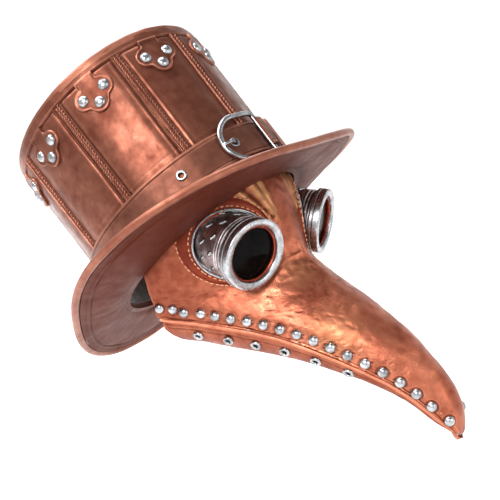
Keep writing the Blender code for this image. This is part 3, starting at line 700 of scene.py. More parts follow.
@found_or_made
def thread_fibre(name):
    n = Nodes(name)
    twist = n.noise(1800.0, 2.0, 0.5, (1.0, 0.4, 1.0))
    colour = n.mix(n.ramp(twist, 0.35, 0.65), (0.42, 0.15, 0.060), (0.80, 0.42, 0.22))
    return n.finish(colour, n.ramp(twist, 0.3, 0.7, 0.6, 0.42), n.bump(twist, 0.4, 0.0005),
                    Sheen_Weight=0.2)


@found_or_made
def smoked_glass(name):
    n = Nodes(name)
    smear = n.noise(45.0, 5.0, 0.65)
    colour = n.mix(n.ramp(smear, 0.45, 0.75), (0.0012, 0.0010, 0.0010), (0.0050, 0.0036, 0.0032))
    return n.finish(colour, n.ramp(smear, 0.4, 0.7, 0.045, 0.11), n.bump(smear, 0.02, 0.001),
                    Specular_IOR_Level=0.03)


# --------------------------------------------------------------- hat surfaces
def crown_scale(z):
    return 1.0 + CROWN_FLARE * (z - BAND_HIGH)


def crown_point(phi, z, out=0.0):
    """On the crown, phi degrees from the front towards the wearer's right."""
    a = math.radians(phi)
    size = crown_scale(z)
    normal = Vector((-math.sin(a) / CROWN_RX, -math.cos(a) / CROWN_RY, 0.0)).normalized()
    base = Vector((-CROWN_RX * size * math.sin(a), -CROWN_RY * size * math.cos(a), z))
    return HAT @ (base + normal * out)


def crown_frame(phi, z, out=0.0):
    """Local X towards the wearer's left round the crown, Y up it and Z straight out."""
    here = crown_point(phi, z, out)
    up = crown_point(phi, z + 0.01, out) - here
    side = crown_point(phi - 1.0, z, out) - crown_point(phi + 1.0, z, out)
    return frame_at(here, side.cross(up), up)


def round_the_crown(phi, z):
    """Metres of crown for one degree of phi."""
    a = math.radians(phi)
    size = crown_scale(z) * math.pi / 180.0
    return size * math.hypot(CROWN_RX * math.cos(a), CROWN_RY * math.sin(a))


def crown_relief(phi, z):
    """How far the crown's leather stands off its plain surface."""
    pitch = 360.0 / PANELS
    off = phi - pitch * round(phi / pitch)
    from_seam = abs(off) * round_the_crown(phi, z)
    half_panel = 0.5 * pitch * round_the_crown(phi, z)
    height = 0.0008 * ease((from_seam - SEAM_HALF) / 0.010)
    height -= 0.0006 * ridge(from_seam - SEAM_HALF - 0.0006, 0.0016)
    height += 0.0004 * ridge(from_seam - SEAM_HALF - 0.0026, 0.0016)
    height -= 0.0005 * ease((from_seam - 0.6 * half_panel) / (0.4 * half_panel))
    if z > HEM_Z - 0.004:
        height = height * ease((HEM_Z - z) / 0.004) + 0.0013 * ease((z - HEM_Z) / 0.0010)
        height -= 0.0007 * ridge(z - HEM_Z + 0.0009, 0.0012)
    low = BAND_HIGH + 0.0042
    height += 0.0006 * ridge(z - low, 0.0011) - 0.0006 * ridge(z - low + 0.0018, 0.0013)
    where = crown_point(phi, z)
    height += 0.0009 * unevenness(where, 0.045, 3.0)
    height += 0.00028 * unevenness(where, 0.011, 9.0)
    return height


def tab_edge(angle, lobe):
    """How far the tab's edge is from its middle in that direction, in metres."""
    middle = Vector((0.0, TAB_RISE * 0.75))
    ahead = Vector((math.cos(angle), math.sin(angle)))
    reach = 0.0
    while reach < 0.05 and tab_depth(middle + ahead * reach, lobe) < 0.0:
        reach += 0.0002
    return middle + ahead * reach


def tab_depth(point, lobe):
    """Below 0 inside the tab's outline. Lobes and strap run into each other softly."""
    total = 0.0
    blend = 0.0021
    for x, y in TAB_RIVETS:
        total += math.exp(-((point - Vector((x, y))).length - lobe) / blend)
    top = HEM_Z - TAB_LOW_Z + 0.0006
    strap = max(abs(point.x) - 0.0074 - 0.0030 * ease((point.y - TAB_RISE - 0.006) / 0.02),
                TAB_RISE - point.y)
    total += math.exp(-strap / blend)
    return max(-blend * math.log(total), point.y - top)


def brim_edge(phi):
    a = math.radians(phi)
    size = 1.0 + BRIM_OVAL * math.cos(2 * a) + BRIM_LOBES * math.cos(3 * a)
    height = BRIM_EDGE_Z - BRIM_CURL * math.cos(2 * a)
    return Vector((-BRIM_RX * size * math.sin(a), -BRIM_RY * size * math.cos(a), height))


def brim_point(phi, reach):
    """Across the brim's top face in hat axes, reach 0 at the crown and 1 at the edge."""
    a = math.radians(phi)
    inner = Vector((-(CROWN_RX * crown_scale(0.0) - CROWN_WALL) * math.sin(a),
                    -(CROWN_RY * crown_scale(0.0) - CROWN_WALL) * math.cos(a), 0.0))
    outer = brim_edge(phi)
    across = inner.lerp(outer, reach)
    sag = 0.0030 * math.sin(math.pi * min(1.0, reach * 1.1) ** 0.8)
    across.z = (outer.z * reach ** 2 - sag) * ease((reach - 0.10) / 0.10)
    return across


def brim_normal(phi, reach):
    along = brim_point(phi + 1.0, reach) - brim_point(phi - 1.0, reach)
    across = brim_point(phi, min(1.0, reach + 0.02)) - brim_point(phi, max(0.0, reach - 0.02))
    normal = across.cross(along).normalized()
    return normal if normal.z > 0.0 else -normal


# -------------------------------------------------------------- mask surfaces
def station(u):
    """The side line's and the centre line's points, the half width and the jaw's depth."""
    side_y, side_z, centre_y, centre_z, width, depth = (smooth_value(column, u)
                                                        for column in STATION_COLUMNS)
    return Vector((0.0, side_y, side_z)), Vector((0.0, centre_y, centre_z)), width, depth


def past_station(u, line, step, first=0.0):
    """The way along the side line (0) or the centre line (1) past station u."""
    return station(min(u + step, TIP_STATION))[line] - station(max(u - step, first))[line]


def mirrored(point):
    """The same place on the wearer's left side."""
    return Vector((abs(point.x), point.y, point.z))


def fullness(u):
    return smooth_value(FULLNESS, min(u, len(FULLNESS) - 1.0))


def shell_point(u, d, side=1):
    """On the face and the beak's upper side: d is 0 on the side line and 1 on the ridge."""
    low, high, width, _ = station(u)
    power = fullness(u)
    point = low.lerp(high, d)
    point.x = side * width * max(0.0, 1.0 - d ** power) ** (1.0 / power)
    return point


def rise(u, height):
    """The share of station u's slant that stands this height above the side line."""
    low, high, _, _ = station(u)
    along = past_station(u, 0, 0.1).normalized()
    return height / along.cross(high - low).length


def shell_normal(u, d, side=1):
    ahead = shell_point(min(u + 0.05, TIP_STATION), d, side)
    along = ahead - shell_point(max(u - 0.05, 0.0), d, side)
    across = shell_point(u, min(d + 0.01, 0.995), side) - shell_point(u, max(d - 0.01, 0.0), side)
    normal = along.cross(across).normalized()
    return normal if normal.x * side > 0.0 else -normal


def jaw_point(u, t, side=1):
    """On the jaw: t is 0 degrees at the side line and 90 under the middle."""
    low, _, width, depth = station(u)
    along = past_station(u, 0, 0.1, REAR_CORNER).normalized()
    down = Vector((0.0, -along.z, along.y))
    if down.z > 0.0:
        down = -down
    a = math.radians(t)
    point = low + down * depth * math.sin(a)
    point.x = side * width * max(0.0, math.cos(a)) ** JAW_FULLNESS
    return point


def jaw_normal(u, t, side=1):
    along = jaw_point(u + 0.05, t, side) - jaw_point(u - 0.05, t, side)
    down = jaw_point(u, t + 1.0, side) - jaw_point(u, t - 1.0, side)
    normal = along.cross(down).normalized()
    return normal if normal.x * side > 0.0 else -normal


def neck_cut(u):
    for (a, low), (b, high) in zip(NECK_CUT, NECK_CUT[1:]):
        if u <= b:
            return low + (high - low) * (u - a) / (b - a)
    return 90.0


def goggle_frame(side):
    """Local +Z points out through the lens. side is 1 on the wearer's left, -1 right."""
    ahead = Vector((side * math.sin(GOGGLE_OUT) * math.cos(GOGGLE_DOWN),
                    -math.cos(GOGGLE_OUT) * math.cos(GOGGLE_DOWN), -math.sin(GOGGLE_DOWN)))
    across = UP.cross(ahead).normalized()
    matrix = Matrix((across, ahead.cross(across), ahead)).transposed().to_4x4()
    matrix.translation = Vector((side * GOGGLE_AT.x, GOGGLE_AT.y, GOGGLE_AT.z))
    return matrix


def seam_spots(first_gap, spacing, count, height):
    """Stations and heights of points spaced evenly along the mask's side line."""
    spots = []
    walked = -first_gap
    before = station(REAR_CORNER)
    u = REAR_CORNER
    while len(spots) < count and u < 16.6:
        u += 0.005
        now = station(u)
        step = now[0] - before[0]
        walked += math.hypot(step.length, now[2] - before[2])
        before = now
        if walked >= 0.0:
            spots.append((u, height * (1.0 - 0.48 * ease((u - 8.0) / 7.0))))
            walked -= spacing
    return spots


def beak_rivet_spots():
    """Two rivets at the mask's rear edge, and then an even row along the beak's seam."""
    s = bpy.context.scene.mask_face
    row = seam_spots(BEAK_RIVET_FIRST, BEAK_RIVET_PITCH, s.rivets - len(REAR_RIVETS),
                     BEAK_RIVET_HEIGHT)
    return REAR_RIVETS + [(u, rise(u, height)) for u, height in row]


def pleat_height(point):
    """Folds that fan from the bridge of the nose up under the hat, on both sides."""
    across = abs(point.x) - FOLDS_FOOT.x
    up = point.z - FOLDS_FOOT.z
    if up < -0.004:
        return 0.0
    fan = math.degrees(math.atan2(across, up + 0.004))
    folds = 0.0
    for centre, width, tall in ((4.0, 6.0, 0.7), (17.0, 5.5, 1.0), (28.0, 4.5, -0.7),
                                (37.0, 5.0, 1.0), (47.0, 5.0, -0.5)):
        folds += tall * ridge(fan - centre, width)
    return folds * ease((up + 0.004) / 0.012)


def face_relief(point, u, d, rivets, depth):
    """How far the mask's leather stands off its plain surface."""
    above = d * (station(u)[1] - station(u)[0]).length
    height = 0.0006 * unevenness(point, 0.030, 5.0) + 0.00045 * unevenness(point, 0.0075, 2.0)
    if u < 5.0:
        height += depth * pleat_height(point)
    twin = mirrored(point)
    stretched = Vector((twin.x, twin.y * 0.45, twin.z * 1.5))
    cheek = ease((u - 1.5) / 2.0) * ease((11.5 - u) / 4.0) * ease((0.93 - d) / 0.2)
    wrinkle = unevenness(stretched, 0.0044, 7.0)
    height -= cheek * 0.0010 * max(0.0, wrinkle - 0.15)
    bridge = ridge(u - 4.4, 2.3) * ease((d - 0.72) / 0.2)
    crease = unevenness(Vector((twin.x * 1.8, twin.y, twin.z)), 0.0085, 1.0)
    height += bridge * depth * 0.45 * (1.0 - 2.6 * min(0.5, abs(crease)))
    pits = unevenness(point, 0.0023, 4.0)
    pitted = ease((0.024 - above) / 0.014) * ease((u - 4.0) / 2.0) * ease((13.0 - u) / 2.0)
    pitted = max(pitted, 0.5 * ease((u - 5.0) / 2.0) * ease((10.0 - u) / 3.0))
    height -= pitted * 0.0006 * ease((pits - 0.24) / 0.25)
    shrink = 1.0 - 0.38 * ease((u - 8.0) / 8.0)
    if u > REAR_CORNER:
        height -= 0.0007 * ridge(above - 0.0042 * shrink, 0.0009)
        height += 0.0005 * ridge(above - 0.0030 * shrink, 0.0012)
    for centre in rivets:
        gap = (point - centre).length
        if gap < 0.007:
            height -= 0.0006 * ridge(gap - 0.0046, 0.0012)
    return height


# ------------------------------------------------------------------ operators
class MASK_OT_crown(bpy.types.Operator):
    """Build the crown's leather wall and its lid, and give the lining its cloth"""

    bl_idname = "mask.crown"
    bl_label = "Crown"

    def execute(self, context):
        rows = []
        low = GAP
        top = CROWN_TOP - 0.0033
        levels = spread(low, 0.138, 84)[:-1] + spread(0.138, top, 30)
        steps = 540
        for i in range(steps):
            phi = 360.0 * i / steps
            outer = [crown_point(phi, z, crown_relief(phi, z)) for z in levels]
            inner = [crown_point(phi, z, -CROWN_WALL) for z in spread(top, low, 6)]
            rows.append(outer + inner)
        wall = rows_piece("crown_leather", rows, hat_leather(), around=True, closed=True)
        carry(wall, nodes=["crown_wall"])
        self.lid(steps // 2)
        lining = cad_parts["sweatband"]
        lining.data.materials.clear()
        lining.data.materials.append(woven_cloth("lining cloth"))
        return {"FINISHED"}

    def lid(self, steps):
        """The flat top: its skirt goes over the wall, and its field sinks inside a stitch."""
        centre = HAT @ Vector((0.0, 0.0, CROWN_TOP))
        edge = 0.0011
        sunk = 0.0011
        rows = []
        for i in range(steps):
            phi = 360.0 * i / steps
            row = [centre - HAT_UP * LID_THICK]
            row += [self.lid_point(phi, share, -LID_THICK) for share in (0.5, 0.97)]
            row.append(crown_point(phi, CROWN_TOP - LID_SKIRT, GAP))
            row.append(crown_point(phi, CROWN_TOP - LID_SKIRT, edge))
            for degrees in spread(0.0, 90.0, 6):
                a = math.radians(degrees)
                row.append(crown_point(phi, CROWN_TOP - LID_ROUND * (1.0 - math.sin(a)),
                                       edge - LID_ROUND * (1.0 - math.cos(a))
                                       + 0.0005 * unevenness(centre + Vector((a, phi, 0)), 9.0)))
            for share in spread(0.965, 0.02, 46):
                inside = ease((LID_STITCH - share) / 0.2)
                drop = -0.0009 * ridge(share - LID_STITCH, 0.012) - sunk * inside
                lump = 0.0008 * unevenness(self.lid_point(phi, share, 0.0), 0.05, 6.0)
                row.append(self.lid_point(phi, share, drop + lump * inside))
            row.append(centre - HAT_UP * sunk)
            rows.append(row)
        lid = rows_piece("crown_lid_leather", rows, hat_leather(), around=True)
        carry(lid, nodes=["crown_lid"])

    def lid_point(self, phi, share, lift):
        a = math.radians(phi)
        size = crown_scale(CROWN_TOP) * share
        return HAT @ Vector((-CROWN_RX * size * math.sin(a), -CROWN_RY * size * math.cos(a),
                             CROWN_TOP + lift))


class MASK_OT_seams(bpy.types.Operator):
    """Build the stitched seam strips that run up the crown"""

    bl_idname = "mask.seams"
    bl_label = "Crown seams"

    def execute(self, context):
        tall = context.scene.mask_hat.seam_height
        low = BAND_HIGH + 0.0007
        high = HEM_Z - 0.0004
        count = 340
        twist_pitch = 0.0030
        for number in range(PANELS):
            phi = 360.0 * number / PANELS
            rows = []
            for z in spread(low, high, count):
                row = []
                for x in spread(-SEAM_HALF, SEAM_HALF, 34):
                    wave = 2.0 * math.pi * (z / twist_pitch - x / 0.0034)
                    rope = ridge(x - 0.0018, 0.0019) * (0.78 + 0.22 * math.sin(wave))
                    thin = ridge(x + 0.0034, 0.0010)
                    channel = ridge(x + 0.0011, 0.0018) * (0.42 + 0.30 * math.sin(-1.4 * wave))
                    out = tall * max(rope, 0.86 * thin, 0.55 * channel, 0.14)
                    if abs(x) > SEAM_HALF - 0.0002:
                        out = -0.0010
                    spot = crown_point(phi - x / round_the_crown(phi, z), z)
                    out += 0.00022 * unevenness(spot, 0.0021, 8.0)
                    row.append(crown_point(phi - x / round_the_crown(phi, z), z, out))
                rows.append(row)
            strip = rows_piece(f"crown_seam_{number + 1}", rows, hat_leather())
            carry(strip, nodes=[f"seam_strip_{number + 1}"])
        return {"FINISHED"}


class MASK_OT_tabs(bpy.types.Operator):
    """Build the three-lobed leather tabs and their rivets"""

    bl_idname = "mask.tabs"
    bl_label = "Rivet tabs"

    def execute(self, context):
        s = context.scene.mask_hat
        rays = 120
        outline = [tab_edge(2.0 * math.pi * (i + 0.5) / rays, s.tab_lobe) for i in range(rays)]
        middle = Vector((0.0, TAB_RISE * 0.75))
        for number in range(PANELS):
            phi = 360.0 * (number + 0.5) / PANELS
            rows = []
            for edge in outline:
                row = []
                for share, out in TAB_SECTION:
                    at = middle.lerp(edge, share)
                    z = TAB_LOW_Z + at.y
                    turn = phi - at.x / round_the_crown(phi, z)
                    out += 0.00025 * unevenness(crown_point(turn, z), 0.008, 3.0)
                    row.append(crown_point(turn, z, out))
                rows.append(row)
            tab = rows_piece(f"rivet_tab_{number + 1}", rows, hat_leather(), around=True)
            carry(tab, nodes=[f"trefoil_tab_{number + 1}"])

            body = bmesh.new()
            for x, y in TAB_RIVETS:
                z = TAB_LOW_Z + y
                seat = crown_frame(phi - x / round_the_crown(phi, z), z, 0.0022)
                dome_rivet(body, seat, s.rivet_radius, TAB_RIVET_TALL)
            rivets = bmesh_piece(f"tab_rivets_{number + 1}", body, bright_silver())
            carry(rivets)
        return {"FINISHED"}


class MASK_OT_brim(bpy.types.Operator):
    """Build the curled brim and its rolled edge"""

    bl_idname = "mask.brim"
    bl_label = "Brim"

    def execute(self, context):
        steps = 420
        rows = []
        for i in range(steps):
            phi = 360.0 * i / steps
            wide = (brim_edge(phi) - brim_point(phi, 0.0)).length
            row = []
            for reach in spread(0.0, 1.0, 44):
                row.append(self.face_point(phi, reach, 0.0, 1.0, wide))
            for reach in spread(1.0, 0.0, 44):
                row.append(self.face_point(phi, reach, -BRIM_THICK, -1.0, wide))
            rows.append(row)
        brim = rows_piece("brim_leather", rows, brim_leather(), around=True, closed=True)
        # Painted shade: the brim's underside is made darker than its top.
        mark(brim, "painted_shade", self.painted_shade_share)
        carry(brim, nodes=["brim"])

        ring = []
        ups = []
        for i in range(steps):
            phi = 360.0 * i / steps
            edge = brim_edge(phi)
            along = (brim_edge(phi + 4.0) - brim_edge(phi - 4.0)).normalized()
            up = (brim_point(phi, 0.86) - edge).cross(along).normalized()
            outward = up.cross(along).normalized()
            centre = edge + outward * (BRIM_ROLL_R + 0.0003) - up * 0.5 * BRIM_THICK
            lump = 0.0004 * unevenness(centre, 0.03, 2.0)
            ring.append(HAT @ (centre + up * lump))
            ups.append(HAT.to_3x3() @ up)
        roll = sweep("brim_roll", ring, oval(BRIM_ROLL_R + 0.0003, BRIM_ROLL_R, 16),
                     brim_leather(), cyclic=True, normals=ups)
        carry(roll, nodes=["brim_edge_roll"])
        return {"FINISHED"}

    def painted_shade_share(self, point):
        """Painted shade: the brim's underside is darker than its top."""
        local = HAT.inverted() @ point
        phi = math.degrees(math.atan2(-local.x / BRIM_RX, -local.y / BRIM_RY))
        edge = brim_edge(phi)
        reach = min(1.0, Vector((local.x, local.y)).length / Vector((edge.x, edge.y)).length)
        inner = CROWN_RX / BRIM_RX
        top = brim_point(phi, max(0.0, (reach - inner) / (1.0 - inner)))
        return 0.85 * ease((top.z - 0.0012 - local.z) / 0.0012)

    def face_point(self, phi, reach, sunk, way, wide):
        base = brim_point(phi, reach)
        from_edge = (1.0 - reach) * wide
        line = -0.0008 * ridge(from_edge - 0.0085, 0.0011)
        line += 0.0005 * ridge(from_edge - 0.0068, 0.0018)
        swell = 0.0006 * unevenness(base, 0.035, 4.0) + 0.0002 * unevenness(base, 0.010, 6.0)
        lift = sunk + (way * line + swell) * ease(reach / 0.2)
        return HAT @ (base + brim_normal(phi, reach) * lift)


def strap_section(low, high, inner, outer, soft=0.0007):
    """A strap's section as (z, out) points, with round outer edges and two tooled lines."""
    points = [(low, inner), (low, outer - soft), (low + 0.3 * soft, outer - 0.3 * soft),
              (low + soft, outer)]
    for z in (0.0022, 0.0027, 0.0032, 0.0040):
        points.append((low + z, outer - (0.0005 if z == 0.0027 else 0.0)))
    points += [(0.75 * low + 0.25 * high, outer), (0.5 * (low + high), outer),
               (0.25 * low + 0.75 * high, outer)]
    for z in (0.0040, 0.0032, 0.0027, 0.0022):
        points.append((high - z, outer - (0.0005 if z == 0.0027 else 0.0)))
    points += [(high - soft, outer), (high - 0.3 * soft, outer - 0.3 * soft),
               (high, outer - soft), (high, inner)]
    return points


class MASK_OT_band(bpy.types.Operator):
    """Build the belt round the hat with its eyelets, loose end and keeper"""

    bl_idname = "mask.band"
    bl_label = "Hat band"

    def execute(self, context):
        section = strap_section(BAND_LOW, BAND_HIGH, GAP, GAP + BAND_THICK)
        middle = [(z, GAP + BAND_THICK) for z in spread(section[8][0], section[10][0], 12)]
        section = section[:8] + middle + section[11:]
        rows = []
        for i in range(480):
            phi = 360.0 * i / 480
            rows.append([self.strap_point(phi, z, out) for z, out in section])
        band = rows_piece("belt_band", rows, band_leather(), around=True, closed=True)
        for phi in BAND_EYELETS:
            punch(band, crown_frame(phi, BAND_MIDDLE, 0.0052), 0.0022, 0.010, band_leather(), 24)
        carry(band, nodes=["hat_band"])

        for number, phi in enumerate(BAND_EYELETS):
            seat = crown_frame(phi, BAND_MIDDLE, GAP + BAND_THICK + 0.0001)
            ring = eyelet(f"belt_eyelet_{number + 1}", seat, 0.0044, 0.0021, 0.0015)
            carry(ring, nodes=[f"band_eyelet_{number + 1}"])

        self.loose_end()
        self.keeper()
        return {"FINISHED"}

    def strap_point(self, phi, z, out):
        where = crown_point(phi, z)
        lift = max(0.0, out - 0.001) / BAND_THICK
        return crown_point(phi, z, out + lift * 0.00035 * unevenness(where, 0.012, 5.0))

    def loose_end(self):
        """The strap's end lies on the buckle's bar, comes down and runs out under the keeper."""
        start = BUCKLE_RIGHT + 3.2
        lift = 0.0046
        rows = []
        for phi in spread(start, STRAP_END_PHI, 110):
            bar_share = 1.0 if phi > BUCKLE_RIGHT else ease(1.0 - (BUCKLE_RIGHT - 0.4 - phi) / 9.0)
            inner = GAP + BAND_THICK + 0.0005 + lift * bar_share
            tip = max(0.0, (KEEPER_PHI - 12.0 - phi) / 10.0)
            half = (0.5 * (BAND_HIGH - BAND_LOW) - 0.0008) * math.sqrt(max(0.08, 1.0 - tip ** 2))
            section = strap_section(BAND_MIDDLE - half, BAND_MIDDLE + half,
                                    inner, inner + STRAP_THICK)
            rows.append([self.strap_point(phi, z, out) for z, out in section])
        end = rows_piece("belt_loose_end", rows, band_leather(), closed=True, caps=True)
        carry(end, nodes=["strap_end"])

    def keeper(self):
        """A leather loop round the band and the strap's loose end."""
        low_out = GAP + BAND_THICK + 0.0006 + 0.0018 + 0.0006
        half = 0.5 * (BAND_HIGH - BAND_LOW) + 0.0006
        wall = 0.0016
        corner = 0.0014
        foot = 0.0007
        outer = [(-half - wall, foot)]
        for a in (0.0, 0.52, 1.05, 1.57):
            outer.append((-half - wall + corner * (1 - math.cos(a)),
                          low_out + wall - corner * (1 - math.sin(a))))
        outer += [(-x, y) for x, y in reversed(outer)]
        inner = [(half, foot), (half, low_out), (-half, low_out), (-half, foot)]
        rows = []
        for i, phi in enumerate(spread(KEEPER_PHI - 2.8, KEEPER_PHI + 2.8, 12)):
            edge = 0.0006 * (1.0 - ease(min(i, 12 - i) / 2.0))
            row = [crown_point(phi, BAND_MIDDLE + z, max(foot, out - edge)) for z, out in outer]
            rows.append(row + [crown_point(phi, BAND_MIDDLE + z, out) for z, out in inner])
        keeper = rows_piece("belt_keeper", rows, band_leather(), closed=True, caps=True)
        carry(keeper, nodes=["strap_keeper"])


def eyelet(name, seat, outer, inner, tall):
    """A pressed eyelet ring with a rolled outer edge and a throat."""
    middle = 0.5 * (outer + inner)
    profile = [(outer, -0.0003), (outer, 0.25 * tall), (0.75 * outer + 0.25 * middle, 0.72 * tall),
               (0.35 * outer + 0.65 * middle, tall), (0.5 * (middle + inner), 0.92 * tall),
               (inner + 0.0003, 0.6 * tall), (inner, 0.1 * tall), (inner, -0.0016),
               (inner + 0.0004, -0.0016), (inner + 0.0004, -0.0003)]
    return rows_piece(name, turned_rows(profile, seat, 32), bright_silver(),
                      around=True, closed=True)


class MASK_OT_buckle(bpy.types.Operator):
    """Build the round-ended buckle frame and its prong"""

    bl_idname = "mask.buckle"
    bl_label = "Buckle"

    def execute(self, context):
        out = GAP + BAND_THICK + 0.0005 + STRAP_THICK
        self.loop(out)
        self.tongue(out)
        return {"FINISHED"}

    def loop(self, out):
        """The frame: a half round at the wearer's right, and two corners at the left."""
        line = []
        for degrees in spread(90.0, -90.0, 30):
            a = math.radians(degrees)
            line.append((BUCKLE_LEFT - BUCKLE_ROUND + BUCKLE_ROUND * math.cos(a),
                         BUCKLE_HALF_H * math.sin(a)))
        for side in (-1.0, 1.0):
            angles = spread(0.0, 90.0, 9)
            for degrees in angles if side < 0 else reversed(angles):
                a = math.radians(degrees)
                line.append((BUCKLE_RIGHT + BUCKLE_CORNER * (1.0 - math.sin(a)),
                             side * (BUCKLE_HALF_H - 0.003 * (1.0 - math.cos(a)))))
        points = [crown_point(phi, BAND_MIDDLE + z, out) for phi, z in line]
        dense = []
        for here, ahead in zip(points, points[1:] + points[:1]):
            pieces = max(1, int((ahead - here).length / 0.0012))
            dense += [here.lerp(ahead, k / pieces) for k in range(pieces)]
        outward = (crown_point(6.0, BAND_MIDDLE, 1.0) - crown_point(6.0, BAND_MIDDLE)).normalized()
        buckle = sweep("buckle_loop", dense, BUCKLE_SECTION, bright_silver(), cyclic=True,
                       normals=[outward] * len(dense))
        carry(buckle, "buckle_frame", ["buckle_frame"])

    def tongue(self, out):
        """The prong hooks over the frame's round end and dips into the first eyelet."""
        pivot = crown_point(BUCKLE_LEFT, BAND_MIDDLE, out)
        out_way = (crown_point(BUCKLE_LEFT, BAND_MIDDLE, 1.0)
                   - crown_point(BUCKLE_LEFT, BAND_MIDDLE)).normalized()
        up = HAT_UP.normalized()
        along = out_way.cross(up)
        points = []
        for degrees in spread(64.0, 90.0, 4):
            a = math.radians(degrees)
            points.append(pivot + (out_way * math.sin(a) + along * math.cos(a)) * TONGUE_HOOK_R)
        tip_out = GAP + BAND_THICK + 0.0016
        for phi, lift in ((17.6, out + 0.0024), (16.4, out + 0.0016), (15.2, tip_out + 0.0014),
                          (14.4, tip_out - 0.0004)):
            points.append(crown_point(phi, BAND_MIDDLE, lift))
        rows = []
        for i, point in enumerate(points):
            ahead = (points[min(i + 1, len(points) - 1)] - points[max(i - 1, 0)]).normalized()
            normal = up.cross(ahead).normalized()
            width = 0.0016 - 0.0004 * ease(i / (len(points) - 1))
            thick = 0.0011
            rows.append([point + up * x * width + normal * y * thick
                         for x, y in oval(1.0, 1.0, 14)])
        prong = rows_piece("buckle_tongue", rows, bright_silver(), closed=True, caps=True)
        carry(prong, "buckle_prong", ["buckle_prong"])


class MASK_OT_face(bpy.types.Operator):
    """Build the face and beak leather with its folds, grain and seam piping"""

    bl_idname = "mask.face"
    bl_label = "Face and beak"

    def execute(self, context):
        depth = context.scene.mask_face.crease_depth
        spots = [shell_point(u, d, side) for side, _ in SIDES for u, d in beak_rivet_spots()]
        us = spread(0.0, 4.0, 84)[:-1] + spread(4.0, LAST_STATION, 262)
        columns = 64
        rows = []
        for u in us:
            first = rise(u, SEAM_GAP) if u > REAR_CORNER - 0.01 else 0.0
            near = [p for p in spots if abs(p.y - station(u)[0].y) < 0.045]
            half = []
            for k in range(columns + 1):
                share = math.sin(0.5 * math.pi * k / columns) ** (2.0 / fullness(u))
                half.append(first + (1.0 - first) * share)
            row = []
            for side in (-1, 1):
                order = half if side < 0 else list(reversed(half[:-1]))
                for d in order:
                    point = shell_point(u, d, side)
                    if d > 0.9999:
                        point.x = 0.0
                    relief = face_relief(point, u, d, near, depth)
                    row.append(point + self.outward(u, d, side) * relief)
            rows.append(row)
        face = rows_piece("face_leather", rows, mask_leather())
        if sum(p.normal.z for p in face.data.polygons) < 0.0:
            face.data.flip_normals()
        thicken(face, MASK_SHELL)
        for side, _ in SIDES:
            through = goggle_frame(side) @ Matrix.Translation((0, 0, -0.0325))
            punch(face, through, BARREL_HOLE_R, 0.085, mask_leather(), 72)
        # Gold rubbed on the folds, plus a painted highlight on the beak's flank.
        mark(face, "gilt_and_highlight", self.gilding_and_highlight)
        # Painted shade at the temples, round the goggles and along the top of the beak.
        mark(face, "painted_shade", self.painted_shade_share)
        carry(face, nodes=["face_shell"])
        self.piping()
        return {"FINISHED"}

    def outward(self, u, d, side):
        if d > 0.985:
            ahead = past_station(u, 1, 0.05)
            return Vector((0.0, ahead.z, -ahead.y)).normalized()
        return shell_normal(u, d, side)

    def gilding_and_highlight(self, point):
        """Gold rubbed on the folds above the nose and round the bridge, and a painted highlight on
        the flank.
        """
        folds = 0.85 * ease(2.2 * pleat_height(point) + 0.45) * self.fan(point)
        twin = mirrored(point)
        bridge = 0.35 * ridge((twin - Vector((0.020, -0.104, -0.004))).length, 0.020)
        flank = 0.30 * ridge((twin - Vector((0.036, -0.142, -0.046))).length, 0.034)
        return min(1.0, max(folds, bridge, flank))

    def painted_shade_share(self, point):
        """Painted shade: darker at the temples and round the goggles, and along the top of the
        beak.
        """
        rear = 0.55 * ease((point.y + 0.075) / 0.06)
        return rear * ease((0.02 - point.z) / 0.02) + 0.25 * ease(point.z / 0.02)

    def fan(self, point):
        across = abs(point.x) - FOLDS_FOOT.x
        up = point.z - FOLDS_FOOT.z
        if up < 0.0 or point.y > -0.02:
            return 0.0
        angle = math.degrees(math.atan2(across, up + 0.004))
        return ease((angle + 4.0) / 8.0) * ease((56.0 - angle) / 10.0) * ease(up / 0.008)

    def piping(self):
        """A leather cord between the face and the jaw, right round the beak's tip."""
        left = []
        for u in spread(4.03, 16.6, 180):
            low, _, width, _ = station(u)
            left.append(Vector((width + 0.0003, low.y, low.z)))
        nose = station(LAST_STATION)[0]
        tip = [Vector((0.0060, nose.y - 0.0012, nose.z - 0.0040)),
               Vector((0.0036, nose.y - 0.0020, nose.z - 0.0068)),
               Vector((0.0, nose.y - 0.0024, nose.z - 0.0078))]
        path = left + tip + [Vector((-p.x, p.y, p.z)) for p in reversed(left + tip[:2])]
        wobble = [p + Vector((0.0, 0.0, 0.00025 * unevenness(p, 0.012, 2.0))) for p in path]
        cord = sweep("seam_cord", wobble, oval(PIPING_R, PIPING_R, 12), mask_leather())
        carry(cord, nodes=["seam_piping"])


class MASK_OT_rivets(bpy.types.Operator):
    """Set the dome rivets along both sides of the beak"""

    bl_idname = "mask.rivets"
    bl_label = "Beak rivets"

    def execute(self, context):
        radius = context.scene.mask_face.rivet_radius
        for side, label in SIDES:
            body = bmesh.new()
            for u, d in beak_rivet_spots():
                point = shell_point(u, d, side)
                normal = shell_normal(u, d, side)
                lean = Vector((unevenness(point, 0.004, 1.0), unevenness(point, 0.004, 2.0),
                               unevenness(point, 0.004, 3.0))) * 0.10
                seat = frame_at(point + normal * 0.0001, normal + lean, UP)
                size = radius * (1.0 - 0.06 * ease((u - 12.0) / 4.0))
                dome_rivet(body, seat, size, BEAK_RIVET_TALL)
            rivets = bmesh_piece(f"beak_rivets_{label}", body, bright_silver())
            carry(rivets)
        return {"FINISHED"}


